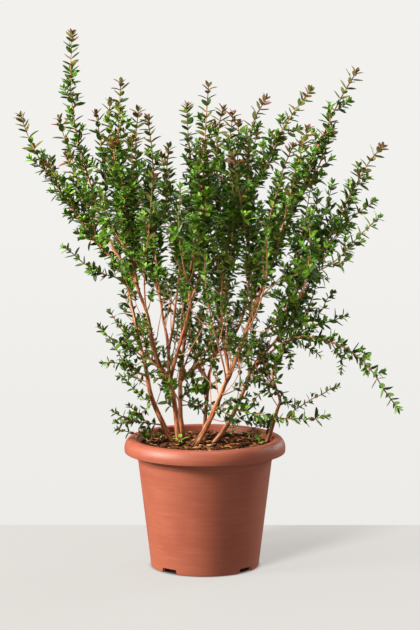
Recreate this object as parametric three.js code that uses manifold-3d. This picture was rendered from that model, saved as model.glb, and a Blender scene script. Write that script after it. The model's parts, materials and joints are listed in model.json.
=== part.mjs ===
// A myrtle shrub growing in a round plastic pot: pot, potting mix, seven woody stems that fork into
// branches, and the leafy shoots they carry. Millimetres, +Z up, origin on the floor under the middle
// of the pot. Every piece is one closed solid and keeps CLEARANCE to its neighbours.
import * as THREE from "three";
import { mergeVertices } from "three/addons/utils/BufferGeometryUtils.js";
import Module from "manifold-3d";

const wasm = await Module();
wasm.setup();

// ---- Driving dimensions ----
const CLEARANCE = 0.35; // gap kept between neighbouring pieces
const WALL = 2; // thickness of the moulded pot
const FOOT_RADIUS = 61; // outside of the foot ring, just above the floor
const FOOT_WIDTH = 2.2; // the ring's flat face on the floor
const SHOULDER_RADIUS = 75.7; // outside of the wall where the collar under the rim begins
const SHOULDER_HEIGHT = 122;
const FLOOR_HEIGHT = 8; // underside of the raised pot floor
const RIM_RADIUS = 91; // widest point of the rolled rim
const RIM_HEIGHT = 147.5; // crest of the rim
const RIM_LIP_HEIGHT = 131; // lower edge of the rim's outer lip
const MOUTH_RADIUS = 78; // the pot's opening
const POT_SEGMENTS = 48;

const NOTCH = { count: 4, width: 23, height: 5.8, slope: 2.5, turn: 49 }; // turn in degrees from the front
const DRAIN = { count: 4, radius: 5, circle: 38 }; // holes through the pot floor

const SOIL_HEIGHT = 139; // level of the potting mix at the pot's wall
const SOIL_DOME = 1.5; // how much higher its middle lies

const WOOD_SIDES = 7;
const WOOD_STEP = 24; // length of one straight stretch of a woody limb
const LEAFY_STEP = 22; // the same for a leafy shoot
const LEAFY_RADIUS = 7.5; // from the twig to the leaf tips, a little inside the real reach
const LEAFY_WAIST = 0.36; // the star section's hollows, as a share of its points' radius
const LEAFY_SWELL = 0.25; // share of a leafy shoot's length in which it reaches its full girth
const LEAFY_TAPER = 0.25; // share of it, at the tip, in which it narrows again
const LEAFY_TIP = 0.45; // girth at the very tip, as a share of the full one
const SPROUT_RADIUS = 4.5;
const TWIG_RADIUS = 1; // where a leafy shoot leaves its limb

// ---- The plant's limbs ----
// Each limb is a smooth line through its points. One with a parent begins on the parent's line, at the
// point of it nearest to `near`. radius runs from the limb's start to where its leaves begin, and
// bare is the share of its length below them. A limb without `bare` is leafy from its start.
const LIMBS = {
  stem_far_left: {
    radius: [3.6, 1.5],
    bare: 0.46,
    points: [
      [-33, 8, 124], [-37, 9, 139], [-47, 11, 159], [-61, 15, 192], [-67, 22, 222], [-75, 30, 254],
      [-82, 36, 287], [-94, 42, 330], [-123, 48, 365], [-163, 55, 418], [-196, 59, 473], [-209, 60, 506],
    ],
  },
  stem_left: {
    radius: [3.4, 1.4],
    bare: 0.52,
    points: [
      [-29, 3, 124], [-30, 4, 140], [-32.5, 8, 168], [-35.5, 11, 190], [-41, 13, 211], [-52, 6, 231],
      [-59, -2, 258], [-64, -9, 286], [-76, -16, 325], [-79, -22, 358], [-83, -28, 405],
      [-93, -33, 448], [-95, -37, 490], [-92, -40, 549],
    ],
  },
  stem_left_inner: {
    radius: [3.3, 1.2],
    bare: 0.5,
    points: [
      [-23, 11, 124], [-24, 12, 140], [-27.5, 18, 168], [-28, 24, 190], [-28, 29, 210], [-24, 40, 245],
      [-15, 58, 310], [-10, 72, 390], [-14, 78, 435], [-19, 80, 480], [-21, 81, 516],
    ],
  },
  stem_centre_back: {
    radius: [2.9, 1.1],
    bare: 0.42,
    points: [
      [-4, 10, 124], [-2, 12, 140], [3, 29, 196], [4, 34, 209], [14, 50, 245], [21, 68, 322],
      [17, 80, 405], [13, 84, 450], [15, 86, 485], [20, 86, 512],
    ],
  },
  stem_centre_front: {
    radius: [3.6, 1.5],
    bare: 0.5,
    points: [
      [-18, -22, 124], [-12, -19, 140], [-3, -16, 153], [9, -13, 177], [21, -10, 206], [27, -9, 219],
      [39, -15, 249], [50, -24, 283], [74, -38, 350], [94, -43, 400], [112, -46, 446], [129, -48, 491],
      [149, -48, 533], [165, -48, 560],
    ],
  },
  stem_right_centre: {
    radius: [3.1, 1.2],
    bare: 0.4,
    points: [
      [1, -4, 124], [8, -3, 139], [20, 0, 153], [33, 6, 175], [45, 11, 202], [52, 14, 220],
      [67, 10, 242], [79, 6, 256], [98, 2, 300], [121, -2, 352], [141, -5, 386], [162, -8, 423],
      [185, -10, 463], [197, -10, 476],
    ],
  },
  stem_right: {
    radius: [3.2, 1.1],
    bare: 0.46,
    points: [
      [65, 8, 124], [69, 9, 139], [75, 8, 154], [82, 5, 178], [85, 3, 188], [80, 0, 203],
      [76, -6, 222], [88, -14, 250], [104, -20, 276], [118, -24, 305], [126, -26, 333],
    ],
  },
  branch_tall_left: {
    parent: "stem_left",
    radius: [1.7, 1.1],
    bare: 0.24,
    near: [-76, -16, 325],
    points: [
      [-88, -14, 343], [-100, -11, 360], [-113, -7, 388], [-127, -3, 432], [-141, 0, 482],
      [-148, 2, 525], [-149, 3, 560], [-147, 4, 600],
    ],
  },
  branch_left_back: {
    parent: "stem_left",
    radius: [2.1, 1.2],
    bare: 0.4,
    near: [-41, 13, 211],
    points: [
      [-41, 20, 228], [-42, 27, 250], [-48, 35, 280], [-53, 42, 318], [-57, 48, 352], [-62, 52, 395],
      [-59, 55, 440], [-61, 56, 475], [-65, 57, 503],
    ],
  },
  branch_left_front: {
    parent: "stem_left",
    radius: [2.4, 1.3],
    bare: 0.36,
    near: [-40, 14, 208],
    points: [
      [-36, 6, 225], [-29, -2, 250], [-23, -9, 272], [-15, -16, 305], [-6, -22, 335], [-1, -27, 370],
      [-5, -31, 412], [-1, -34, 455], [1, -36, 505], [4, -37, 545],
    ],
  },
  branch_left_middle: {
    parent: "branch_left_back",
    radius: [1.8, 1],
    bare: 0.42,
    near: [-42, 26, 246],
    points: [
      [-37, 21, 264], [-34, 15, 290], [-30, 9, 320], [-27, 4, 352], [-33, 0, 375], [-42, -4, 404],
      [-43, -8, 440], [-40, -10, 476],
    ],
  },
  branch_cross_right: {
    parent: "stem_left_inner",
    radius: [2, 1.1],
    bare: 0.44,
    near: [-28, 29, 208],
    points: [
      [-18, 27, 217], [-3, 24, 228], [9, 20, 237], [22, 15, 248], [35, 9, 266], [44, 3, 290],
      [49, -3, 325], [49, -8, 370], [46, -12, 415], [47, -15, 462], [53, -17, 502], [67, -18, 530],
    ],
  },
  branch_back_fork: {
    parent: "stem_centre_back",
    radius: [1.6, 0.9],
    bare: 0.38,
    near: [4, 33, 206],
    points: [
      [-6, 38, 222], [-13, 44, 240], [-15, 54, 266], [-20, 66, 300], [-28, 80, 345], [-36, 90, 390],
      [-44, 96, 430], [-50, 98, 458],
    ],
  },
  branch_centre_right: {
    parent: "stem_centre_front",
    radius: [2, 1.1],
    bare: 0.44,
    near: [26, -9, 217],
    points: [
      [25, -2, 234], [21, 6, 255], [19, 14, 290], [21, 20, 335], [33, 25, 384], [57, 30, 433],
      [68, 33, 458], [92, 36, 500], [118, 38, 536],
    ],
  },
  branch_right_back: {
    parent: "stem_right_centre",
    radius: [1.9, 1],
    bare: 0.32,
    near: [51, 14, 218],
    points: [
      [49, 24, 232], [47, 34, 250], [52, 45, 285], [60, 55, 325], [70, 64, 365], [80, 70, 405],
      [87, 74, 438], [100, 77, 470],
    ],
  },
  branch_arching: {
    parent: "stem_right_centre",
    radius: [1.9, 1.2],
    bare: 0.26,
    near: [55, 13, 224],
    points: [
      [66, 2, 236], [80, -11, 251], [98, -24, 264], [120, -34, 266], [140, -42, 262], [156, -48, 256],
      [170, -52, 246], [185, -56, 231], [199, -59, 210], [214, -60, 190],
    ],
  },
  shoot_right_long: {
    parent: "stem_centre_front",
    near: [56, -28, 300],
    points: [
      [68, -38, 318], [85, -46, 332], [104, -51, 339], [124, -54, 343], [143, -56, 354],
      [158, -58, 370], [173, -59, 386], [191, -60, 403],
    ],
  },
  shoot_low_right: {
    parent: "stem_right",
    near: [79, 6, 168],
    points: [[92, 2, 168], [106, -4, 169], [121, -10, 170], [137, -14, 174]],
  },
  shoot_left_mid: {
    parent: "stem_far_left",
    near: [-89, 40, 315],
    points: [[-102, 34, 325], [-118, 30, 330], [-137, 26, 342], [-149, 24, 353], [-158, 22, 360]],
  },
  shoot_left_lower: {
    parent: "stem_far_left",
    near: [-66, 21, 213],
    points: [[-76, 10, 219], [-88, 2, 229], [-100, -6, 233], [-114, -12, 234]],
  },
  shoot_left_front: {
    parent: "stem_far_left",
    near: [-69, 25, 234],
    points: [[-80, 4, 246], [-95, -14, 257], [-110, -26, 268], [-117, -30, 278]],
  },
  sprig_low_left: {
    parent: "stem_far_left",
    near: [-47, 11, 159],
    points: [[-60, 4, 162], [-78, -4, 166], [-92, -10, 172], [-103, -14, 179]],
  },
  shoot_left_inner: {
    parent: "stem_far_left",
    near: [-123, 48, 365],
    points: [[-128, 44, 388], [-138, 40, 420], [-147, 38, 441], [-156, 36, 462]],
  },
  shoot_top_left_a: {
    parent: "stem_left",
    near: [-83, -28, 405],
    points: [[-96, -22, 435], [-103, -16, 470], [-106, -12, 500], [-105, -10, 525]],
  },
  shoot_top_left_b: {
    parent: "branch_tall_left",
    near: [-113, -7, 388],
    points: [[-111, 10, 420], [-114, 20, 450], [-118, 26, 485], [-122, 28, 510]],
  },
  shoot_top_left_c: {
    parent: "branch_left_back",
    near: [-57, 48, 352],
    points: [[-68, 42, 395], [-75, 36, 430], [-78, 33, 470], [-75, 32, 514]],
  },
  shoot_top_right: {
    parent: "branch_centre_right",
    near: [19, 15, 292],
    points: [[26, 4, 330], [31, -2, 380], [31, -4, 430], [27, -5, 470], [31, -6, 512]],
  },
  shoot_right_mid: {
    parent: "stem_right_centre",
    near: [121, -2, 352],
    points: [[136, -14, 366], [150, -20, 383], [165, -24, 400], [187, -26, 417]],
  },
  shoot_right_low: {
    parent: "branch_arching",
    near: [98, -24, 264],
    points: [[112, -18, 273], [127, -12, 277], [142, -8, 281], [157, -6, 286]],
  },
  shoot_front_left: {
    parent: "stem_left",
    near: [-64, -9, 286],
    points: [[-66, -42, 308], [-66, -66, 340], [-62, -84, 380], [-58, -96, 420], [-56, -102, 452]],
  },
  shoot_front_middle: {
    parent: "branch_left_front",
    near: [-15, -16, 305],
    points: [[-18, -48, 325], [-24, -74, 355], [-28, -94, 395], [-26, -106, 440]],
  },
  shoot_front_right: {
    parent: "stem_centre_front",
    near: [46, -20, 270],
    points: [[54, -55, 290], [62, -88, 318], [67, -114, 350], [66, -132, 385]],
  },
  shoot_front_low: {
    parent: "stem_centre_front",
    near: [24, -10, 212],
    points: [[20, -48, 240], [10, -84, 282], [2, -114, 328], [0, -136, 372]],
  },
  shoot_front_far_right: {
    parent: "stem_right_centre",
    near: [98, 2, 300],
    points: [[106, -32, 312], [112, -72, 342], [114, -100, 380], [112, -118, 415]],
  },
  shoot_front_far_left: {
    parent: "stem_left",
    near: [-79, -22, 358],
    points: [[-95, -52, 375], [-106, -82, 402], [-112, -106, 436]],
  },
  shoot_back_left: {
    parent: "stem_left_inner",
    near: [-20, 48, 272],
    points: [[-45, 75, 300], [-70, 100, 335], [-88, 118, 380], [-98, 130, 430]],
  },
  shoot_back_middle: {
    parent: "stem_centre_back",
    near: [17, 60, 283],
    points: [[10, 92, 315], [2, 116, 360], [-2, 130, 410], [0, 138, 455]],
  },
  shoot_back_right: {
    parent: "branch_right_back",
    near: [60, 55, 325],
    points: [[80, 88, 350], [96, 110, 385], [106, 126, 428]],
  },
  shoot_back_low_left: {
    parent: "stem_left_inner",
    near: [-27, 28, 180],
    points: [[-50, 62, 218], [-75, 92, 254], [-95, 116, 296]],
  },
};

// Young shoots that rise straight out of the potting mix: foot and tip.
const SPROUTS = {
  sprout_front: [[-27, -26, 132], [-28, -27, 152]],
  sprout_back: [[31, 40, 132], [33, 41, 158]],
  sprout_right: [[60, -16, 132], [62, -17, 150]],
};

const BARK = { color: 0xa5603c, roughness: 0.85 };
const FOLIAGE = { color: 0x3f6b25, roughness: 0.5 };
const YOUNG_LEAF = { color: 0x6fa432, roughness: 0.5 };
const TERRACOTTA = { color: 0xb9654a, roughness: 0.6 };
const PEAT = { color: 0x3d2a1e, roughness: 1 };

// ---- Solids ----

/** The closed mesh of a geometry as a manifold-3d solid. */
function solidOf(geometry) {
  const bare = geometry.index ? geometry.toNonIndexed() : geometry.clone();
  bare.deleteAttribute("normal");
  bare.deleteAttribute("uv");
  const merged = mergeVertices(bare, 1e-4);
  return new wasm.Manifold(
    new wasm.Mesh({
      numProp: 3,
      vertProperties: new Float32Array(merged.attributes.position.array),
      triVerts: new Uint32Array(merged.index.array),
    }),
  );
}

/** A manifold-3d solid as a flat-shaded geometry. */
function geometryOf(solid) {
  const mesh = solid.getMesh();
  const geometry = new THREE.BufferGeometry();
  geometry.setAttribute("position", new THREE.BufferAttribute(mesh.vertProperties, 3));
  geometry.setIndex(new THREE.BufferAttribute(mesh.triVerts, 1));
  const flat = geometry.toNonIndexed();
  flat.computeVertexNormals();
  return flat;
}

/** The largest of the bodies that a cut leaves. */
function largestBody(solid) {
  return solid.decompose().reduce((best, body) => (body.volume() > best.volume() ? body : best));
}

/** A lathe solid about +Z from a profile of [radius, height] points. */
function turned(profile, segments) {
  const outline = profile.map(([radius, height]) => new THREE.Vector2(radius, height));
  return solidOf(new THREE.LatheGeometry(outline, segments).rotateX(Math.PI / 2));
}

/** Points on an arc from one angle to another, in degrees, as [radius, height] pairs. */
function arc([centreRadius, centreHeight], [reach, rise], from, to, steps) {
  return Array.from({ length: steps + 1 }, (_, i) => {
    const angle = THREE.MathUtils.degToRad(from + ((to - from) * i) / steps);
    return [centreRadius + reach * Math.cos(angle), centreHeight + rise * Math.sin(angle)];
  });
}

/** A regular outline of the given number of corners and radius 1. */
function polygon(corners) {
  const outline = new THREE.Shape();
  for (let i = 0; i < corners; i++) {
    const angle = (2 * Math.PI * i) / corners;
    outline[i ? "lineTo" : "moveTo"](Math.cos(angle), Math.sin(angle));
  }
  return outline;
}

/** A four-pointed star of radius 1: opposite leaf pairs, each pair turned a quarter from the last. */
function leafStar() {
  const outline = new THREE.Shape();
  for (let i = 0; i < 8; i++) {
    const radius = i % 2 ? LEAFY_WAIST : 1;
    const angle = (Math.PI * i) / 4;
    outline[i ? "lineTo" : "moveTo"](radius * Math.cos(angle), radius * Math.sin(angle));
  }
  return outline;
}

/** The unit section swept along a curve and scaled at each step to radiusAt(share of the length). */
function swept(section, curve, steps, radiusAt) {
  const geometry = new THREE.ExtrudeGeometry(section, { extrudePath: curve, steps });
  const centres = curve.getSpacedPoints(steps);
  const position = geometry.attributes.position;
  const vertex = new THREE.Vector3();
  for (let i = 0; i < position.count; i++) {
    vertex.fromBufferAttribute(position, i);
    const distances = centres.map((centre) => centre.distanceToSquared(vertex));
    const step = distances.indexOf(Math.min(...distances));
    vertex.sub(centres[step]).multiplyScalar(radiusAt(step / steps)).add(centres[step]);
    position.setXYZ(i, vertex.x, vertex.y, vertex.z);
  }
  return solidOf(geometry);
}

/** The part of a curve between two shares of its length, as a curve of its own. */
function stretch(curve, from, to) {
  const count = Math.max(4, Math.round((curve.getLength() * (to - from)) / 8));
  const points = Array.from({ length: count + 1 }, (_, i) =>
    curve.getPointAt(from + ((to - from) * i) / count),
  );
  return new THREE.CatmullRomCurve3(points, false, "centripetal");
}

/** The point of a curve nearest to a place. */
function nearestPoint(curve, place) {
  const target = new THREE.Vector3(...place);
  return curve
    .getSpacedPoints(200)
    .reduce((best, p) => (p.distanceToSquared(target) < best.distanceToSquared(target) ? p : best));
}

// ---- The pot and what fills it ----

/** The moulded pot: foot ring, tapered wall, collar, rolled rim open underneath, and raised floor. */
function pot() {
  const slope = (SHOULDER_RADIUS - FOOT_RADIUS) / SHOULDER_HEIGHT;
  const wallAt = (height) => FOOT_RADIUS + slope * height;
  const collar = { step: 0.9, bottom: SHOULDER_HEIGHT + 1 };
  const lip = { centre: [RIM_RADIUS - 1.2, RIM_LIP_HEIGHT + 1], half: 1 };
  const crown = { centre: [82.5, 135.5], reach: RIM_RADIUS - 82.5, rise: RIM_HEIGHT - 135.5 };
  const profile = [
    [0, FLOOR_HEIGHT],
    [FOOT_RADIUS - FOOT_WIDTH - 1.4, FLOOR_HEIGHT],
    [FOOT_RADIUS - FOOT_WIDTH - 1.2, 0],
    [FOOT_RADIUS - 1.2, 0],
    [FOOT_RADIUS - 0.4, 0.6],
    [wallAt(2.2), 2.2],
    [wallAt(SHOULDER_HEIGHT / 2), SHOULDER_HEIGHT / 2],
    [SHOULDER_RADIUS, SHOULDER_HEIGHT],
    [SHOULDER_RADIUS + collar.step, collar.bottom],
    [SHOULDER_RADIUS + collar.step + 0.6, RIM_LIP_HEIGHT + 2],
    [MOUTH_RADIUS + 1.2, RIM_HEIGHT - 4.5],
    [MOUTH_RADIUS + 4.5, RIM_HEIGHT - WALL - 0.4],
    [RIM_RADIUS - 4.2, RIM_HEIGHT - 6.5],
    [RIM_RADIUS - 2.4, RIM_HEIGHT - 12],
    [lip.centre[0] - lip.half, lip.centre[1]],
    [lip.centre[0], RIM_LIP_HEIGHT],
    [lip.centre[0] + lip.half, lip.centre[1]],
    ...arc(crown.centre, [crown.reach, crown.rise], 0, 100, 7),
    [MOUTH_RADIUS + 0.6, RIM_HEIGHT - 1],
    [MOUTH_RADIUS, RIM_HEIGHT - 3],
    [wallAt(SHOULDER_HEIGHT) - WALL + 0.6, SHOULDER_HEIGHT],
    [wallAt(FLOOR_HEIGHT) - WALL, FLOOR_HEIGHT + WALL + 2],
    [wallAt(FLOOR_HEIGHT) - WALL - 2, FLOOR_HEIGHT + WALL],
    [0, FLOOR_HEIGHT + WALL],
  ];
  let solid = turned(profile, POT_SEGMENTS);
  for (let i = 0; i < NOTCH.count; i++) {
    solid = solid.subtract(notch(NOTCH.turn + (360 * i) / NOTCH.count));
  }
  for (let i = 0; i < DRAIN.count; i++) {
    solid = solid.subtract(drain((360 * i) / DRAIN.count));
  }
  return solid;
}

/** The cutter of one foot notch, narrower at its top, at an angle from the front (-Y) towards +X. */
function notch(degrees) {
  const outline = new THREE.Shape([
    new THREE.Vector2(-NOTCH.width / 2, -5),
    new THREE.Vector2(NOTCH.width / 2, -5),
    new THREE.Vector2(NOTCH.width / 2, 1),
    new THREE.Vector2(NOTCH.width / 2 - NOTCH.slope, NOTCH.height),
    new THREE.Vector2(NOTCH.slope - NOTCH.width / 2, NOTCH.height),
    new THREE.Vector2(-NOTCH.width / 2, 1),
  ]);
  const cutter = new THREE.ExtrudeGeometry(outline, { depth: 14, bevelEnabled: false });
  cutter.rotateX(Math.PI / 2).translate(0, -FOOT_RADIUS + 9, 0);
  return solidOf(cutter.rotateZ(THREE.MathUtils.degToRad(degrees)));
}

/** The cutter of one drain hole. */
function drain(degrees) {
  const cutter = new THREE.CylinderGeometry(DRAIN.radius, DRAIN.radius, 12, 12).rotateX(Math.PI / 2);
  cutter.translate(DRAIN.circle, 0, FLOOR_HEIGHT);
  return solidOf(cutter.rotateZ(THREE.MathUtils.degToRad(degrees)));
}

/** The potting mix, before the stems' sockets are cut: it fills the pot up to SOIL_HEIGHT. */
function pottingMix() {
  const slope = (SHOULDER_RADIUS - FOOT_RADIUS) / SHOULDER_HEIGHT;
  const insideAt = (height) => FOOT_RADIUS + slope * height - WALL - CLEARANCE - 0.3;
  const bottom = FLOOR_HEIGHT + WALL + CLEARANCE;
  return turned(
    [
      [0, bottom],
      [insideAt(bottom) - 3, bottom],
      [insideAt(bottom + 3), bottom + 3],
      [insideAt(SHOULDER_HEIGHT), SHOULDER_HEIGHT],
      [insideAt(SHOULDER_HEIGHT) + 0.5, SOIL_HEIGHT],
      [MOUTH_RADIUS / 2, SOIL_HEIGHT + SOIL_DOME * 0.8],
      [0, SOIL_HEIGHT + SOIL_DOME],
    ],
    POT_SEGMENTS,
  );
}

// ---- The plant ----

/** Every limb's line, children beginning on their parents. */
function limbCurves() {
  const curves = {};
  for (const [name, limb] of Object.entries(LIMBS)) {
    const points = limb.points.map((point) => new THREE.Vector3(...point));
    if (limb.parent) points.unshift(nearestPoint(curves[limb.parent], limb.near));
    curves[name] = new THREE.CatmullRomCurve3(points, false, "centripetal");
  }
  return curves;
}

/** The bare wood of a limb, made thicker all over by `extra`. */
function wood(curve, limb, extra) {
  const part = stretch(curve, 0, limb.bare);
  const steps = Math.max(4, Math.round(part.getLength() / WOOD_STEP));
  const [start, end] = limb.radius;
  return swept(polygon(WOOD_SIDES), part, steps, (t) => start + (end - start) * t + extra);
}

/** The leafy part of a limb: a spindle of star section that swells from the twig and closes at its tip. */
function foliage(curve, from, startRadius, radius, extra) {
  const part = stretch(curve, from, 1);
  const steps = Math.max(4, Math.round(part.getLength() / LEAFY_STEP));
  const girth = (t) => {
    const swelling = Math.min(1, startRadius / radius + t / LEAFY_SWELL);
    const narrowing = Math.max(0, (t - 1 + LEAFY_TAPER) / LEAFY_TAPER);
    return radius * swelling * (1 - (1 - LEAFY_TIP) * narrowing);
  };
  return swept(leafStar(), part, steps, (t) => girth(t) + extra);
}

const myrtle = new THREE.Group();
const placed = []; // what later pieces have to clear: {solid, grown}

/** Adds a piece as a named mesh. */
function add(name, solid, material) {
  const mesh = new THREE.Mesh(geometryOf(solid), new THREE.MeshStandardMaterial(material));
  mesh.name = name;
  myrtle.add(mesh);
}

/** Adds a piece, cut back from every earlier plant piece that it would touch. */
function addClear(name, make, material) {
  let solid = make(0);
  for (const other of placed) {
    if (solid.intersect(other.grown).volume() > 0) solid = solid.subtract(other.grown);
  }
  add(name, largestBody(solid), material);
  placed.push({ solid, grown: make(CLEARANCE) });
}

const curves = limbCurves();
const woody = Object.entries(LIMBS).filter(([, limb]) => limb.bare);
for (const [name, limb] of woody) {
  addClear(name, (extra) => wood(curves[name], limb, extra), BARK);
}
for (const [name, limb] of Object.entries(LIMBS)) {
  const from = limb.bare ? limb.bare + CLEARANCE / curves[name].getLength() : 0;
  const start = limb.bare ? limb.radius[1] : TWIG_RADIUS;
  const make = (extra) => foliage(curves[name], from, start, LEAFY_RADIUS, extra);
  addClear(limb.bare ? name + "_foliage" : name, make, FOLIAGE);
}
for (const [name, ends] of Object.entries(SPROUTS)) {
  const curve = new THREE.LineCurve3(...ends.map((end) => new THREE.Vector3(...end)));
  addClear(name, (extra) => foliage(curve, 0, TWIG_RADIUS, SPROUT_RADIUS, extra), YOUNG_LEAF);
}

const soil = placed.reduce(
  (mix, piece) => (mix.intersect(piece.grown).volume() > 0 ? mix.subtract(piece.grown) : mix),
  pottingMix(),
);
add("potting_mix", largestBody(soil), PEAT);
add("pot", pot(), TERRACOTTA);

export default myrtle;
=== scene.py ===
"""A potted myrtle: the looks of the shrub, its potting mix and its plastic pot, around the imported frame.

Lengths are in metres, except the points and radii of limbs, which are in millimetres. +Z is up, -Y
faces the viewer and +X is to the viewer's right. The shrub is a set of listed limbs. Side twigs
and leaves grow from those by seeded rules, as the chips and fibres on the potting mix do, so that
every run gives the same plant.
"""

import json
import logging
import math
import random
from collections.abc import Callable, Iterable, Iterator, Sequence
from dataclasses import dataclass
from enum import Enum

import bmesh
import bpy
from mathutils import Matrix, Quaternion, Vector, noise

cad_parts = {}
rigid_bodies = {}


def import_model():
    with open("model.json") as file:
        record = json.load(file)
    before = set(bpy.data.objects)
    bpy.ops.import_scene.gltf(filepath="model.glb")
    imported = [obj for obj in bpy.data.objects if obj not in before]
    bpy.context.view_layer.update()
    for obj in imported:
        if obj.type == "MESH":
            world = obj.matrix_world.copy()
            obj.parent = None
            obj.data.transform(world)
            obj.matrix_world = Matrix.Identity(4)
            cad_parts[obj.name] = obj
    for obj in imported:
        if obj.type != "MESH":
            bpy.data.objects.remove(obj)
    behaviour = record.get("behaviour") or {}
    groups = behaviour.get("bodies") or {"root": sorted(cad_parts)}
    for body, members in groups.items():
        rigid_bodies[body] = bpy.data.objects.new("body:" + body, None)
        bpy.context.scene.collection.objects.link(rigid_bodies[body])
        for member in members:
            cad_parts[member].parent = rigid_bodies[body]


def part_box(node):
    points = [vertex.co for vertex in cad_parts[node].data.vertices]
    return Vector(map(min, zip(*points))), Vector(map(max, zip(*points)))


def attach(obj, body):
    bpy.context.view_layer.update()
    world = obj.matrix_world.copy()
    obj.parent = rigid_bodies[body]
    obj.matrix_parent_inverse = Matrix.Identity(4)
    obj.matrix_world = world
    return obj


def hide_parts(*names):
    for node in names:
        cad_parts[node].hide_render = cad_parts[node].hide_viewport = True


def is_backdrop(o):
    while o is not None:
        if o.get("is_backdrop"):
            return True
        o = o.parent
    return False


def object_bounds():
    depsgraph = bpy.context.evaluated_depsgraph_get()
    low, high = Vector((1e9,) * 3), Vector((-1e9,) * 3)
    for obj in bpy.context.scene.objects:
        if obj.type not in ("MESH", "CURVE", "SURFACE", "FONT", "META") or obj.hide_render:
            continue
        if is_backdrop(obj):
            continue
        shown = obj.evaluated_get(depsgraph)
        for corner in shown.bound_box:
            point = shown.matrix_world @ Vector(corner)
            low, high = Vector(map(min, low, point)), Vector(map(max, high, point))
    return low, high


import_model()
CAD_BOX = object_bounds()

LOG = logging.getLogger("potted_myrtle")
MM = 0.001
TAU = 2 * math.pi
UP = Vector((0.0, 0.0, 1.0))
BARK_PLACE = "bark_place"  # a point of a stem as if the stem were straight: across, across, along
BARK_AGE = "bark_age"  # 0 on this year's twigs, 1 on the old wood
TONE = "tone"  # how light a loose piece of the potting mix is, 0 to 1
LEAF_MAP = "OFBake"  # a leaf's own map: one cell of the atlas for each kind and tone
BMesh = bmesh.types.BMesh
Material = bpy.types.Material
Object = bpy.types.Object
Socket = bpy.types.NodeSocket
Input = Socket | float | tuple


class Slot(Enum):
    """The record's material slots."""

    POT = "pot"
    POTTING_MIX = "potting_mix"
    BARK = "bark"
    FOLIAGE = "foliage"
    YOUNG_LEAF = "young_leaf"


def srgb(red: int, green: int, blue: int) -> tuple[float, float, float, float]:
    """A colour of 0 to 255 display values as a linear colour with alpha.

    Args:
        red: Display value of the red channel.
        green: Display value of the green channel.
        blue: Display value of the blue channel.

    Returns:
        The linear red, green, blue and an alpha of 1.
    """
    shares = (channel / 255 for channel in (red, green, blue))
    linear = [c / 12.92 if c <= 0.04045 else ((c + 0.055) / 1.055) ** 2.4 for c in shares]
    return (*linear, 1.0)


# ---------------------------------------------------------------------------------------------------
# Materials
# ---------------------------------------------------------------------------------------------------


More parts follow.
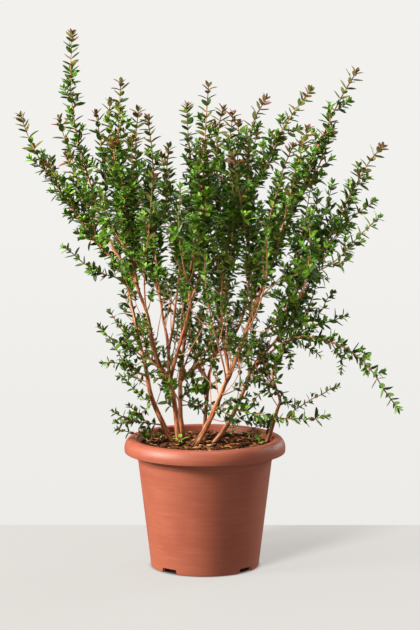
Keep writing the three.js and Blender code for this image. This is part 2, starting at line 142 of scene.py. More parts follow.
class Sketch:
    """Adds nodes to one node tree and links them as it goes."""

    def __init__(self, tree: bpy.types.NodeTree) -> None:
        """Starts on a tree.

        Args:
            tree: The material's or group's node tree.
        """
        self.tree = tree

    def add(self, kind: str, inputs: dict | None = None, **settings: object) -> bpy.types.Node:
        """Adds a node.

        Args:
            kind: The node's type name.
            inputs: Its inputs by name or index, each a value or a socket to link from.
            **settings: Its properties.

        Returns:
            The new node.
        """
        node = self.tree.nodes.new(kind)
        for name, value in settings.items():
            setattr(node, name, value)
        self.fill(node, inputs or {})
        return node

    def fill(self, node: bpy.types.Node, inputs: dict) -> None:
        """Gives a node its inputs.

        Args:
            node: The node.
            inputs: Its inputs by name or index, each a value to set on it or a socket to link from.
        """
        for key, value in inputs.items():
            if isinstance(value, Socket):
                self.tree.links.new(value, node.inputs[key])
            else:
                node.inputs[key].default_value = value

    def maths(self, operation: str, *values: Input) -> Socket:
        """The result of a maths node, clamped by nothing.

        Args:
            operation: The maths operation's name.
            *values: Its operands, numbers or sockets.

        Returns:
            The value socket.
        """
        node = self.add("ShaderNodeMath", dict(enumerate(values)), operation=operation)
        return node.outputs[0]

    def ramp(self, factor: Socket, low: Input, high: Input, start: float = 0.0, end: float = 1.0) -> Socket:
        """A smooth step of a value.

        Args:
            factor: The value's socket.
            low: Where the step begins.
            high: Where it ends.
            start: The result up to `low`.
            end: The result from `high` on.

        Returns:
            The result's socket.
        """
        inputs = {"Value": factor, "From Min": low, "From Max": high, "To Min": start, "To Max": end}
        node = self.add("ShaderNodeMapRange", inputs, interpolation_type="SMOOTHSTEP")
        return node.outputs["Result"]

    def mix(self, factor: Input, first: Input, second: Input, blend: str = "MIX") -> Socket:
        """Two colours mixed.

        Args:
            factor: How much of the second, a number or socket.
            first: A colour or socket.
            second: A colour or socket.
            blend: The blend mode's name.

        Returns:
            The colour socket.
        """
        inputs = {0: factor, 6: first, 7: second}
        node = self.add("ShaderNodeMix", inputs, data_type="RGBA", blend_type=blend)
        return node.outputs[2]

    def noise(self, vector: Socket, scale: Input, detail: float = 3.0, roughness: float = 0.5) -> Socket:
        """A fractal noise between 0 and 1.

        Args:
            vector: The socket of its coordinates.
            scale: How many lumps to the metre.
            detail: How many octaves it has.
            roughness: How strong the fine octaves are.

        Returns:
            The value socket.
        """
        inputs = {"Vector": vector, "Scale": scale, "Detail": detail, "Roughness": roughness}
        return self.add("ShaderNodeTexNoise", inputs).outputs[0]

    def stretched(self, vector: Socket, scale: Sequence[float]) -> Socket:
        """Coordinates stretched along the axes.

        Args:
            vector: The socket of the coordinates.
            scale: The factor on each axis.

        Returns:
            The vector socket.
        """
        inputs = {"Vector": vector, "Scale": tuple(scale)}
        return self.add("ShaderNodeMapping", inputs).outputs[0]

    def colours(self, factor: Socket, stops: Sequence[tuple[float, tuple]], mode: str = "LINEAR") -> Socket:
        """A colour ramp.

        Args:
            factor: The socket that runs along the ramp.
            stops: Each stop's place and colour, in order.
            mode: The ramp's interpolation.

        Returns:
            The colour socket.
        """
        node = self.add("ShaderNodeValToRGB", {0: factor})
        node.color_ramp.interpolation = mode
        elements = node.color_ramp.elements
        for place, _ in stops[2:]:
            elements.new(place)
        for element, (place, colour) in zip(elements, stops):
            element.position = place
            element.color = colour
        return node.outputs[0]

    def bump(self, height: Socket, distance: float, strength: float) -> Socket:
        """A bumped normal.

        Args:
            height: The height's socket, 0 to 1.
            distance: What a height of 1 stands for, in metres.
            strength: How much of it shows.

        Returns:
            The normal socket.
        """
        inputs = {"Height": height, "Distance": distance, "Strength": strength}
        return self.add("ShaderNodeBump", inputs).outputs[0]


def group_sockets(group: bpy.types.NodeTree, inputs: dict[str, str], outputs: dict[str, str]) -> tuple:
    """Gives a node group its sockets.

    Args:
        group: The group's tree.
        inputs: Input names and socket types.
        outputs: Output names and socket types.

    Returns:
        The group's input node and output node.
    """
    for name, kind in inputs.items():
        group.interface.new_socket(name, in_out="INPUT", socket_type=kind)
    for name, kind in outputs.items():
        group.interface.new_socket(name, in_out="OUTPUT", socket_type=kind)
    return group.nodes.new("NodeGroupInput"), group.nodes.new("NodeGroupOutput")


def streaks_group() -> bpy.types.NodeTree:
    """Fine streaks along one axis over broad mottling, for bark, moulded plastic and loose wood.

    Returns:
        A group with the inputs Vector, Fine and Broad, lumps to the metre, and the outputs Streak and
        Mottle, 0 to 1.
    """
    found = bpy.data.node_groups.get("streaks")
    if found:
        return found
    group = bpy.data.node_groups.new("streaks", "ShaderNodeTree")
    inputs = {"Vector": "NodeSocketVector", "Fine": "NodeSocketFloat", "Broad": "NodeSocketFloat"}
    outputs = {"Streak": "NodeSocketFloat", "Mottle": "NodeSocketFloat"}
    source, sink = group_sockets(group, inputs, outputs)
    sketch = Sketch(group)
    vector = source.outputs["Vector"]
    fine = sketch.noise(vector, source.outputs["Fine"], 4.0, 0.6)
    broad = sketch.noise(vector, source.outputs["Broad"], 2.0, 0.5)
    sketch.fill(sink, {"Streak": sketch.ramp(fine, 0.25, 0.75), "Mottle": sketch.ramp(broad, 0.3, 0.7)})
    return group


def streaks(sketch: Sketch, vector: Socket, fine: float, broad: float) -> bpy.types.Node:
    """The streaks group placed in a material.

    Args:
        sketch: The material's sketch.
        vector: The socket of its coordinates, stretched as the streaks run.
        fine: Streaks to the metre.
        broad: Mottles to the metre.

    Returns:
        The group's node.
    """
    inputs = {"Vector": vector, "Fine": fine, "Broad": broad}
    return sketch.add("ShaderNodeGroup", inputs, node_tree=streaks_group())


def new_material(name: str) -> tuple[Material, Sketch, bpy.types.Node]:
    """An empty material with its surface shader.

    Args:
        name: The material's name.

    Returns:
        The material, a sketch of its tree, and its Principled BSDF.
    """
    material = bpy.data.materials.new(name)
    material.use_nodes = True
    shader = next(n for n in material.node_tree.nodes if n.type == "BSDF_PRINCIPLED")
    return material, Sketch(material.node_tree), shader


@dataclass(frozen=True)
class MouldedPlastic:
    """Matt terracotta-coloured plastic with the faint level lines of its mould."""

    name: str = "terracotta_plastic"
    colour: tuple = srgb(187, 98, 67)
    dark: tuple = srgb(164, 74, 50)
    pale: tuple = srgb(206, 132, 104)
    grime: tuple = srgb(92, 62, 46)
    roughness: float = 0.5
    specular: float = 0.75
    line_depth: float = 0.16 * MM
    soil_line: float = 139 * MM
    mouth_radius: float = 78 * MM

    def build(self) -> Material:
        """Builds the material."""
        material, sketch, shader = new_material(self.name)
        place = sketch.add("ShaderNodeTexCoord").outputs["Object"]
        lines = streaks(sketch, sketch.stretched(place, (1.0, 1.0, 16.0)), 34.0, 9.0)
        cloud = sketch.noise(place, 22.0, 2.0, 0.5)
        speckle = sketch.noise(place, 2600.0, 2.0, 0.6)
        tone = sketch.mix(sketch.ramp(cloud, 0.35, 0.65, 0.0, 0.35), self.colour, self.dark)
        tone = sketch.mix(sketch.ramp(lines.outputs["Mottle"], 0.0, 1.0, 0.0, 0.18), tone, self.dark)
        tone = sketch.mix(sketch.ramp(lines.outputs["Streak"], 0.5, 1.0, 0.0, 0.22), tone, self.pale)
        tone = sketch.mix(sketch.ramp(speckle, 0.62, 0.8, 0.0, 0.2), tone, self.pale)
        parts = sketch.add("ShaderNodeSeparateXYZ", {0: place}).outputs
        squares = [sketch.maths("MULTIPLY", parts[axis], parts[axis]) for axis in (0, 1)]
        radius = sketch.maths("POWER", sketch.maths("ADD", *squares), 0.5)
        inside = sketch.ramp(radius, self.mouth_radius, self.mouth_radius + MM, 1.0, 0.0)
        above = sketch.ramp(parts[2], self.soil_line - 4 * MM, self.soil_line - 3 * MM)
        ragged = sketch.maths("ADD", parts[2], sketch.maths("MULTIPLY", speckle, 4 * MM))
        soiled = sketch.ramp(ragged, self.soil_line, self.soil_line + 8 * MM, 1.0, 0.0)
        patch = sketch.ramp(sketch.noise(place, 160.0, 4.0, 0.7), 0.35, 0.7)
        grime = sketch.maths("MULTIPLY", sketch.maths("MULTIPLY", inside, above),
                             sketch.maths("MULTIPLY", soiled, patch))
        tone = sketch.mix(sketch.maths("MULTIPLY", grime, 0.85), tone, self.grime)
        rough = sketch.ramp(lines.outputs["Streak"], 0.0, 1.0, self.roughness - 0.05, self.roughness + 0.07)
        relief = sketch.maths("ADD", lines.outputs["Streak"], sketch.maths("MULTIPLY", speckle, 0.35))
        normal = sketch.bump(relief, self.line_depth, 0.3)
        sketch.fill(shader, {"Base Color": tone, "Roughness": rough, "Normal": normal})
        shader.inputs["Specular IOR Level"].default_value = self.specular
        return material


@dataclass(frozen=True)
class Bark:
    """Myrtle bark: cinnamon, streaked and flaking on old wood, smooth and pinkish on young twigs."""

    name: str = "myrtle_bark"
    old: tuple = srgb(204, 122, 74)
    furrow: tuple = srgb(88, 44, 28)
    flake: tuple = srgb(242, 186, 136)
    grey: tuple = srgb(138, 84, 58)
    young: tuple = srgb(220, 158, 114)
    blush: tuple = srgb(194, 118, 82)
    tip: tuple = srgb(150, 74, 52)
    furrow_depth: float = 0.5 * MM

    def build(self) -> Material:
        """Builds the material."""
        material, sketch, shader = new_material(self.name)
        place = sketch.add("ShaderNodeAttribute", attribute_name=BARK_PLACE).outputs["Vector"]
        age = sketch.add("ShaderNodeAttribute", attribute_name=BARK_AGE).outputs["Fac"]
        strips = streaks(sketch, sketch.stretched(place, (1.0, 1.0, 0.12)), 520.0, 240.0)
        patch = sketch.noise(sketch.stretched(place, (1.0, 1.0, 0.4)), 190.0, 3.0, 0.6)
        old = sketch.mix(sketch.ramp(patch, 0.48, 0.62, 0.0, 0.8), self.old, self.grey)
        old = sketch.mix(sketch.ramp(strips.outputs["Mottle"], 0.5, 0.95, 0.0, 0.8), old, self.flake)
        furrows = sketch.ramp(strips.outputs["Streak"], 0.1, 0.55, 0.85, 0.0)
        old = sketch.mix(furrows, old, self.furrow)
        young = sketch.mix(sketch.ramp(patch, 0.35, 0.7, 0.0, 0.8), self.young, self.blush)
        young = sketch.mix(sketch.ramp(age, 0.0, 0.09, 0.9, 0.0), young, self.tip)
        tone = sketch.mix(sketch.ramp(age, 0.3, 0.7), young, old)
        rough = sketch.ramp(age, 0.1, 0.5, 0.5, 0.82)
        relief = sketch.maths("MULTIPLY", strips.outputs["Streak"], sketch.ramp(age, 0.0, 0.6, 0.15, 1.0))
        normal = sketch.bump(relief, self.furrow_depth, 0.8)
        sketch.fill(shader, {"Base Color": tone, "Roughness": rough, "Normal": normal})
        return material


class LeafKind(Enum):
    """The rows of the leaf atlas, from the oldest leaves to the growing tips."""

    SHADE = 0
    MATURE = 1
    GREEN = 2
    FRESH = 3
    BRIGHT = 4
    BRONZE = 5
    RED = 6
    SPROUT = 7


ATLAS_CELLS = 8


@dataclass(frozen=True)
class LeafSkin:
    """Glossy small leaves: a colour for each row of the atlas, a pale midrib and a duller underside."""

    name: str = "myrtle_leaf"
    rows: tuple = (
        srgb(32, 62, 11),
        srgb(52, 92, 13),
        srgb(82, 132, 22),
        srgb(114, 162, 36),
        srgb(156, 198, 62),
        srgb(134, 128, 52),
        srgb(156, 74, 56),
        srgb(134, 196, 44),
    )
    rib: tuple = srgb(150, 172, 70)
    under: tuple = srgb(110, 144, 56)
    roughness: float = 0.26
    specular: float = 0.4
    vein_depth: float = 0.25 * MM

    def pattern(self) -> bpy.types.NodeTree:
        """The node group of a leaf's colour, roughness and height, from its place in the atlas.

        Returns:
            The group, with the input Vector and the outputs Color, Roughness and Height.
        """
        group = bpy.data.node_groups.new("leaf_pattern", "ShaderNodeTree")
        outputs = {"Color": "NodeSocketColor", "Roughness": "NodeSocketFloat", "Height": "NodeSocketFloat"}
        source, sink = group_sockets(group, {"Vector": "NodeSocketVector"}, outputs)
        sketch = Sketch(group)
        cells = sketch.stretched(source.outputs["Vector"], (ATLAS_CELLS, ATLAS_CELLS, 1.0))
        parts = sketch.add("ShaderNodeSeparateXYZ", {0: cells})
        column = sketch.maths("FLOOR", parts.outputs[0])
        row = sketch.maths("FLOOR", parts.outputs[1])
        along = sketch.maths("FRACT", parts.outputs[0])
        cell_side = sketch.maths("FRACT", parts.outputs[1])
        underside = sketch.maths("GREATER_THAN", cell_side, 0.5)
        blade_side = sketch.maths("FRACT", sketch.maths("MULTIPLY", cell_side, 2.0))
        off_rib = sketch.maths("ABSOLUTE", sketch.maths("SUBTRACT", blade_side, 0.5))
        stops = [(i / ATLAS_CELLS, colour) for i, colour in enumerate(self.rows)]
        place = sketch.maths("DIVIDE", sketch.maths("ADD", row, 0.5), ATLAS_CELLS)
        base = sketch.colours(place, stops, "CONSTANT")
        key = sketch.add("ShaderNodeCombineXYZ", {0: column, 1: row})
        chance = sketch.add("ShaderNodeTexWhiteNoise", {"Vector": key.outputs[0]}, noise_dimensions="3D")
        hue = sketch.ramp(chance.outputs[0], 0.0, 1.0, 0.485, 0.515)
        second_chance = sketch.maths("FRACT", sketch.maths("MULTIPLY", chance.outputs[0], 7.0))
        value = sketch.ramp(second_chance, 0.0, 1.0, 0.7, 1.3)
        inputs = {"Hue": hue, "Value": value, "Color": base}
        tone = sketch.add("ShaderNodeHueSaturation", inputs).outputs[0]
        tone = sketch.mix(sketch.ramp(along, 0.0, 0.35, 0.3, 0.0), tone, self.rib)
        blotch = sketch.noise(source.outputs["Vector"], 60.0, 3.0, 0.6)
        tone = sketch.mix(sketch.ramp(blotch, 0.4, 0.75, 0.0, 0.3), tone, self.rows[0], "MULTIPLY")
        slanted = sketch.maths("ADD", along, sketch.maths("MULTIPLY", off_rib, -0.5))
        waves = sketch.maths("SINE", sketch.maths("MULTIPLY", slanted, 62.0))
        veins = sketch.ramp(waves, 0.7, 1.0)
        rib = sketch.ramp(off_rib, 0.02, 0.075, 1.0, 0.0)
        tone = sketch.mix(sketch.maths("MULTIPLY", veins, 0.1), tone, self.rib)
        tone = sketch.mix(sketch.maths("MULTIPLY", rib, 0.5), tone, self.rib)
        tone = sketch.mix(sketch.maths("MULTIPLY", underside, 0.45), tone, self.under)
        rough = sketch.maths("ADD", sketch.maths("MULTIPLY", underside, 0.3), self.roughness)
        rough = sketch.maths("ADD", rough, sketch.maths("MULTIPLY", blotch, 0.12))
        height = sketch.maths("SUBTRACT", sketch.maths("MULTIPLY", blotch, 0.3), rib)
        height = sketch.maths("SUBTRACT", height, sketch.maths("MULTIPLY", veins, 0.35))
        sketch.fill(sink, {"Color": tone, "Roughness": rough, "Height": height})
        return group

    def build(self) -> Material:
        """Builds the material."""
        material, sketch, shader = new_material(self.name)
        uv = sketch.add("ShaderNodeUVMap", uv_map=LEAF_MAP).outputs[0]
        leaf = sketch.add("ShaderNodeGroup", {"Vector": uv}, node_tree=self.pattern())
        normal = sketch.bump(leaf.outputs["Height"], self.vein_depth, 0.6)
        sketch.fill(shader, {"Base Color": leaf.outputs["Color"], "Normal": normal})
        sketch.fill(shader, {"Roughness": leaf.outputs["Roughness"]})
        shader.inputs["Specular IOR Level"].default_value = self.specular
        return material


@dataclass(frozen=True)
class DampPeat:
    """The potting mix itself: dark, damp and crumbly."""

    name: str = "damp_peat"
    dark: tuple = srgb(20, 11, 8)
    brown: tuple = srgb(60, 35, 21)
    crumb: tuple = srgb(122, 74, 42)
    specular: float = 0.2
    crumb_height: float = 2.2 * MM

    def build(self) -> Material:
        """Builds the material."""
        material, sketch, shader = new_material(self.name)
        place = sketch.add("ShaderNodeTexCoord").outputs["Object"]
        clods = sketch.noise(place, 240.0, 5.0, 0.7)
        crumbs = sketch.noise(place, 900.0, 3.0, 0.6)
        tone = sketch.colours(clods, [(0.36, self.dark), (0.6, self.brown)])
        tone = sketch.mix(sketch.ramp(crumbs, 0.58, 0.72, 0.0, 0.7), tone, self.crumb)
        rough = sketch.ramp(crumbs, 0.3, 0.7, 0.98, 0.72)
        relief = sketch.maths("ADD", clods, sketch.maths("MULTIPLY", crumbs, 0.5))
        normal = sketch.bump(relief, self.crumb_height, 0.9)
        sketch.fill(shader, {"Base Color": tone, "Roughness": rough, "Normal": normal})
        shader.inputs["Specular IOR Level"].default_value = self.specular
        return material


@dataclass(frozen=True)
class LooseWood:
    """Bark chips and fibres on the potting mix, each with its own tone."""

    name: str = "loose_wood"
    dark: tuple = srgb(42, 20, 11)
    middle: tuple = srgb(146, 80, 42)
    light: tuple = srgb(230, 166, 110)
    specular: float = 0.2
    grain_depth: float = 0.4 * MM

    def build(self) -> Material:
        """Builds the material."""
        material, sketch, shader = new_material(self.name)
        tone = sketch.add("ShaderNodeAttribute", attribute_name=TONE).outputs["Fac"]
        place = sketch.add("ShaderNodeTexCoord").outputs["Object"]
        grain = streaks(sketch, place, 1500.0, 420.0)
        colour = sketch.colours(tone, [(0.0, self.dark), (0.55, self.middle), (1.0, self.light)])
        worn = sketch.ramp(grain.outputs["Streak"], 0.1, 0.6, 0.55, 0.0)
        colour = sketch.mix(worn, colour, self.dark)
        rough = sketch.ramp(grain.outputs["Mottle"], 0.0, 1.0, 0.68, 0.92)
        normal = sketch.bump(grain.outputs["Streak"], self.grain_depth, 0.8)
        sketch.fill(shader, {"Base Color": colour, "Roughness": rough, "Normal": normal})
        shader.inputs["Specular IOR Level"].default_value = self.specular
        return material


@dataclass(frozen=True)
class PaintedBoard:
    """The plain pale surface that the pot stands on: an even glow, with the pot's contact shade and soft
    shadow painted into it.
    """

    name: str = "pale_board"
    colour: tuple = srgb(56, 55, 54)
    glow: tuple = srgb(212, 209, 204)
    contact_shade_reach: tuple = (54 * MM, 66 * MM)  # painted contact shade: no glow under the pot, fading in just past its foot
    shade_heading: tuple = (0.6, 0.8, 0.0)  # where the pot's painted soft shadow falls
    shade_side: tuple = (0.8, -0.6, 0.0)  # square to that
    shade_half: float = 58 * MM
    shade_start: float = 40 * MM
    shade_spread: float = 0.14  # how much softer its sides get, per distance from the pot
    shade_edge: float = 4 * MM
    shade_length: tuple = (160 * MM, 400 * MM)  # distances between which it fades
    shade_left: float = 0.3  # how much of it is left past those
    shade_depth: float = 0.25

    def build(self) -> Material:
        """Builds the material."""
        material, sketch, shader = new_material(self.name)
        place = sketch.add("ShaderNodeTexCoord").outputs["Object"]
        mottle = sketch.noise(place, 3.0, 2.0)
        paler = tuple(min(1.0, channel * 1.02) for channel in self.colour)
        tone = sketch.mix(mottle, self.colour, paler)
        flat = sketch.stretched(place, (1.0, 1.0, 0.0))
        away = sketch.add("ShaderNodeVectorMath", {0: flat}, operation="LENGTH").outputs["Value"]
        # the glow, less the painted contact shade under the pot and the painted shadow beside it
        lit = sketch.maths("MULTIPLY", sketch.ramp(away, *self.contact_shade_reach), self._glow_outside_painted_shadow(sketch, flat))
        sketch.fill(shader, {"Base Color": tone, "Emission Strength": lit})
        shader.inputs["Emission Color"].default_value = self.glow
        shader.inputs["Roughness"].default_value = 0.8
        return material

    def _glow_outside_painted_shadow(self, sketch: Sketch, flat: Socket) -> Socket:
        """How much of the glow is left beside the pot, where a painted soft shadow of it widens and fades as
        it goes.

        Args:
            sketch: The material's sketch.
            flat: The socket of the place on the board.

        Returns:
            The share's socket, 1 outside the shade.
        """
        along, beside = (
            sketch.add("ShaderNodeVectorMath", {0: flat, 1: way}, operation="DOT_PRODUCT").outputs["Value"]
            for way in (self.shade_heading, self.shade_side)
        )
        off_axis = sketch.maths("ABSOLUTE", beside)
        gone = sketch.maths("MAXIMUM", along, 0.0)
        soft = sketch.maths("MULTIPLY_ADD", gone, self.shade_spread, self.shade_edge)
        inner = sketch.maths("SUBTRACT", self.shade_half, soft)
        outer = sketch.maths("ADD", self.shade_half, soft)
        band = sketch.ramp(off_axis, inner, outer, 1.0, 0.0)
        ahead = sketch.ramp(along, 0.0, self.shade_start)
        fade = sketch.ramp(along, *self.shade_length, 1.0, self.shade_left)
        # the painted shadow: a band beside the pot that starts past it and fades away
        shade = sketch.maths("MULTIPLY", sketch.maths("MULTIPLY", band, ahead), fade)
        return sketch.maths("MULTIPLY_ADD", shade, -self.shade_depth, 1.0)


# ---------------------------------------------------------------------------------------------------
# Shared shape helpers
# ---------------------------------------------------------------------------------------------------


class Path:
    """A smooth line through points, read by the distance along it."""

    STEP = 1.5 * MM

    def __init__(self, points: Sequence[Vector]) -> None:
        """Lays the line.

        Args:
            points: The points it passes through, in order.
        """
        ends = [2 * points[0] - points[1], *points, 2 * points[-1] - points[-2]]
        self.places = [points[0].copy()]
        for i in range(1, len(ends) - 2):
            span = ends[i : i + 3]
            count = max(1, round((span[1] - span[0]).length / self.STEP))
            self.places += [self._between(ends[i - 1 : i + 3], (k + 1) / count) for k in range(count)]
        self.distances = [0.0]
        for before, after in zip(self.places, self.places[1:]):
            self.distances.append(self.distances[-1] + (after - before).length)

    @staticmethod
    def _between(near: Sequence[Vector], share: float) -> Vector:
        """A point between the second and third of four, on a centripetal curve through them.

        Args:
            near: Four points in order.
            share: How far it is from the second to the third, 0 to 1.

        Returns:
            The point.
        """
        knots = [0.0]
        for before, after in zip(near, near[1:]):
            knots.append(knots[-1] + max(1e-6, (after - before).length ** 0.5))
        at = knots[1] + share * (knots[2] - knots[1])

        def blend(first: Vector, second: Vector, low: int, high: int) -> Vector:
            """The point between two others that the knots `low` and `high` give."""
            return first + (second - first) * ((at - knots[low]) / (knots[high] - knots[low]))

        inner = [blend(near[i], near[i + 1], i, i + 1) for i in range(3)]
        outer = [blend(inner[i], inner[i + 1], i, i + 2) for i in range(2)]
        return blend(*outer, 1, 2)

    @property
    def length(self) -> float:
        """The line's length."""
        return self.distances[-1]

    def at(self, distance: float) -> Vector:
        """The point at a distance from the start."""
        distance = min(max(distance, 0.0), self.length)
        low, high = 0, len(self.distances) - 1
        while high - low > 1:
            middle = (low + high) // 2
            low, high = (middle, high) if self.distances[middle] <= distance else (low, middle)
        gap = self.distances[high] - self.distances[low]
        share = (distance - self.distances[low]) / gap if gap else 0.0
        return self.places[low].lerp(self.places[high], share)

    def direction(self, distance: float) -> Vector:
        """The line's direction at a distance from its start."""
        reach = 2 * MM
        return (self.at(distance + reach) - self.at(distance - reach)).normalized()

    def nearest(self, place: Vector) -> float:
        """The distance along the line of its point nearest to a place."""
        gaps = [(p - place).length_squared for p in self.places]
        return self.distances[gaps.index(min(gaps))]


def across(direction: Vector, turn: float) -> Vector:
    """A unit vector square to a direction.

    Args:
        direction: A unit vector.
        turn: The angle about it, counted from the most upright of the square vectors.

    Returns:
        The unit vector.
    """
    side = direction.cross(UP)
    side = side.normalized() if side.length > 0.05 else Vector((1.0, 0.0, 0.0)).cross(direction).normalized()
    return Quaternion(direction, turn) @ side.cross(direction).normalized()


def frame_on(place: Vector, along: Vector, up: Vector) -> Matrix:
    """A matrix whose X runs along one direction and whose Z is as near as may be to another.

    Args:
        place: Where it sits.
        along: The direction of its X.
        up: The direction that its Z leans to.

    Returns:
        The 4 by 4 matrix.
    """
    x = along.normalized()
    y = up.cross(x).normalized()
    z = x.cross(y)
    matrix = Matrix((x, y, z)).transposed().to_4x4()
    matrix.translation = place
    return matrix


def mesh_from(bm: BMesh, name: str) -> bpy.types.Mesh:
    """Makes a mesh of a finished bmesh.

    Args:
        bm: The bmesh, which is freed.
        name: The mesh's name.

    Returns:
        The mesh.
    """
    mesh = bpy.data.meshes.new(name)
    bm.to_mesh(mesh)
    bm.free()
    return mesh


def piece_from(bm: BMesh, name: str, material: Material) -> Object:
    """Makes an object of a finished bmesh.

    Args:
        bm: The mesh, which is freed.
        name: The piece's name.
        material: Its material.

    Returns:
        The linked object, at the origin.
    """
    mesh = mesh_from(bm, name)
    mesh.materials.append(material)
    piece = bpy.data.objects.new(name, mesh)
    bpy.context.scene.collection.objects.link(piece)
    return piece


def settle(piece: Object, slot: Slot, *nodes: str) -> None:
    """Puts a finished piece in the place of its CAD nodes and reports it.

    Args:
        piece: The piece.
        slot: Its material slot, which is not used.
        *nodes: The nodes that it stands for.
    """
    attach(piece, "root")
    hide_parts(*nodes)
    LOG.info("%s: %d faces", piece.name, len(piece.data.polygons))


def join(target: BMesh, part: BMesh) -> None:
    """Adds a small mesh to a piece's mesh.

    Args:
        target: The piece's mesh.
        part: The mesh to add, which is freed.
    """
    mesh = mesh_from(part, "part")
    target.from_mesh(mesh)
    bpy.data.meshes.remove(mesh)


def stamp(target: BMesh, mesh: bpy.types.Mesh, matrix: Matrix) -> None:
    """Adds a placed copy of a mesh to a piece's mesh.

    Args:
        target: The piece's mesh.
        mesh: The mesh to copy, which is kept.
        matrix: The copy's place, turn and size.
    """
    copy = mesh.copy()
    copy.transform(matrix)
    target.from_mesh(copy)
    bpy.data.meshes.remove(copy)


def bark_layers(bm: BMesh) -> tuple[bmesh.types.BMLayerItem, bmesh.types.BMLayerItem]:
    """Gives a mesh the bark's two layers.

    Args:
        bm: The mesh.

    Returns:
        The layer of the bark's coordinates and that of its age.
    """
    return bm.verts.layers.float_vector.new(BARK_PLACE), bm.verts.layers.float.new(BARK_AGE)


@dataclass
class Tube:
    """A round closed limb along a path, with its bark's coordinates on every vertex."""

    path: Path
    radius_at: Callable[[float], float]  # by the distance along the path
    sides: int = 8
    step: float = 4 * MM
    end: float | None = None
    lumps: float = 0.0
    age_at: Callable[[float], float] | None = None  # by the distance too

    def build(self) -> BMesh:
        """Extrudes a ring along the path and closes both ends.

        Returns:
            The tube's mesh.
        """
        bm = bmesh.new()
        place_layer, age_layer = bark_layers(bm)
        end = self.path.length if self.end is None else self.end
        count = max(2, math.ceil(end / self.step))
        bmesh.ops.create_circle(bm, cap_ends=True, segments=self.sides, radius=1.0)
        edges = bm.edges[:]
        ring = bm.verts[:]
        frame_before = Matrix.Identity(4)
        side = across(self.path.direction(0.0), 0.0)
        for i in range(count + 1):
            distance = end * i / count
            along = self.path.direction(distance)
            side = (side - along * side.dot(along)).normalized()
            radius = self.radius_at(distance)
            axes = Matrix((side, along.cross(side), along)).transposed().to_4x4()
            axes.translation = self.path.at(distance)
            frame_now = axes @ Matrix.Diagonal((radius, radius, radius, 1.0))
            if i:
                made = bmesh.ops.extrude_edge_only(bm, edges=edges)["geom"]
                ring = [g for g in made if isinstance(g, bmesh.types.BMVert)]
                edges = [g for g in made if isinstance(g, bmesh.types.BMEdge)]
            bmesh.ops.transform(bm, matrix=frame_now @ frame_before.inverted(), verts=ring)
            frame_before = frame_now
            back = axes.inverted()
            age = self.age_at(distance) if self.age_at else 0.0
            for vert in ring:
                local = back @ vert.co
                vert[place_layer] = Vector((local.x, local.y, distance))
                vert[age_layer] = age
        if self.lumps:
            self._roughen(bm, place_layer)
        bmesh.ops.edgeloop_fill(bm, edges=edges)
        bmesh.ops.recalc_face_normals(bm, faces=bm.faces[:])
        for face in bm.faces:
            face.smooth = True
        return bm

    def _roughen(self, bm: BMesh, layer: bmesh.types.BMLayerItem) -> None:
        """Moves the surface in and out a little, as ridges that run along the limb.

        Args:
            bm: The tube's mesh.
            layer: The layer of the bark's coordinates.
        """
        bm.normal_update()
        seed = Vector((self.path.at(0.0).x * 900, self.path.at(0.0).y * 900, 0.0))
        for vert in bm.verts:
            x, y, along = vert[layer]
            ridges = noise.fractal(Vector((x * 420, y * 420, along * 55)) + seed, 0.8, 2.0, 3)
            vert.co += vert.normal * ridges * self.lumps


# ---------------------------------------------------------------------------------------------------
# The shrub
# ---------------------------------------------------------------------------------------------------


class Growth(Enum):
    """What a limb is: bare wood with a leafy top, leafy all along, or a twig too small for the CAD."""

    BRANCH = "branch"
    SHOOT = "shoot"
    SPRIG = "sprig"


@dataclass(frozen=True)
class Limb:
    """A listed stem, branch, shoot or sprig.

    The points are in millimetres. A limb with a parent begins on the parent's line, at its point
    nearest to `near`. The radii are at its start and where its leaves begin, and `bare` is the share
    of its length below them. `twiggy` scales its side twigs.
    """

    name: str
    points: tuple
    parent: str = ""
    near: tuple = ()
    radius: tuple = (1.0, 0.8)
    bare: float = 0.16
    twiggy: float = 1.0
    shaded: bool = False
    growth: Growth = Growth.SHOOT

    @property
    def nodes(self) -> tuple[list[str], list[str]]:
        """The names of the limb's woody nodes and of its leafy nodes in the CAD."""
        if self.growth is Growth.BRANCH:
            return [self.name], [self.name + "_foliage"]
        return [], [self.name] if self.growth is Growth.SHOOT else []


def stem(name: str, *points: tuple, radius: tuple, bare: float) -> Limb:
    """A main stem, which leaves the potting mix on its own.

    Args:
        name: Its name.
        *points: Its points in millimetres.
        radius: Its radii in millimetres, at its start and where its leaves begin.
        bare: The share of its length below its leaves.

    Returns:
        The stem.
    """
    return Limb(name, points, radius=radius, bare=bare, growth=Growth.BRANCH)


def shoot(name: str, parent: str, *points: tuple, **traits: object) -> Limb:
    """A limb that grows from another.

    Args:
        name: Its name.
        parent: The limb it grows from, at that limb's point nearest to the first point.
        *points: Its points in millimetres.
        **traits: Its other fields.

    Returns:
        The limb.
    """
    return Limb(name, points[1:], parent, points[0], **traits)


def branch(name: str, parent: str, *points: tuple, **traits: object) -> Limb:
    """A limb that grows from another and is bare below, told as `shoot` is."""
    return shoot(name, parent, *points, growth=Growth.BRANCH, **traits)


def sprig(parent: str, *points: tuple, twiggy: float = 0.35, bare: float = 0.1, shaded: bool = True) -> Limb:
    """A small listed twig.

    Args:
        parent: The limb it grows from, at that limb's point nearest to the first point.
        *points: Its points in millimetres.
        twiggy: How its side twigs are scaled.
        bare: The share of its length below its leaves.
        shaded: Whether its leaves are the broad dark ones of the shade.

    Returns:
        The twig as a limb.
    """
    traits = {"twiggy": twiggy, "bare": bare, "shaded": shaded}
    name = f"{parent}-{points[-1]}"
    return shoot(name, parent, *points, radius=SPRIG_RADIUS, growth=Growth.SPRIG, **traits)


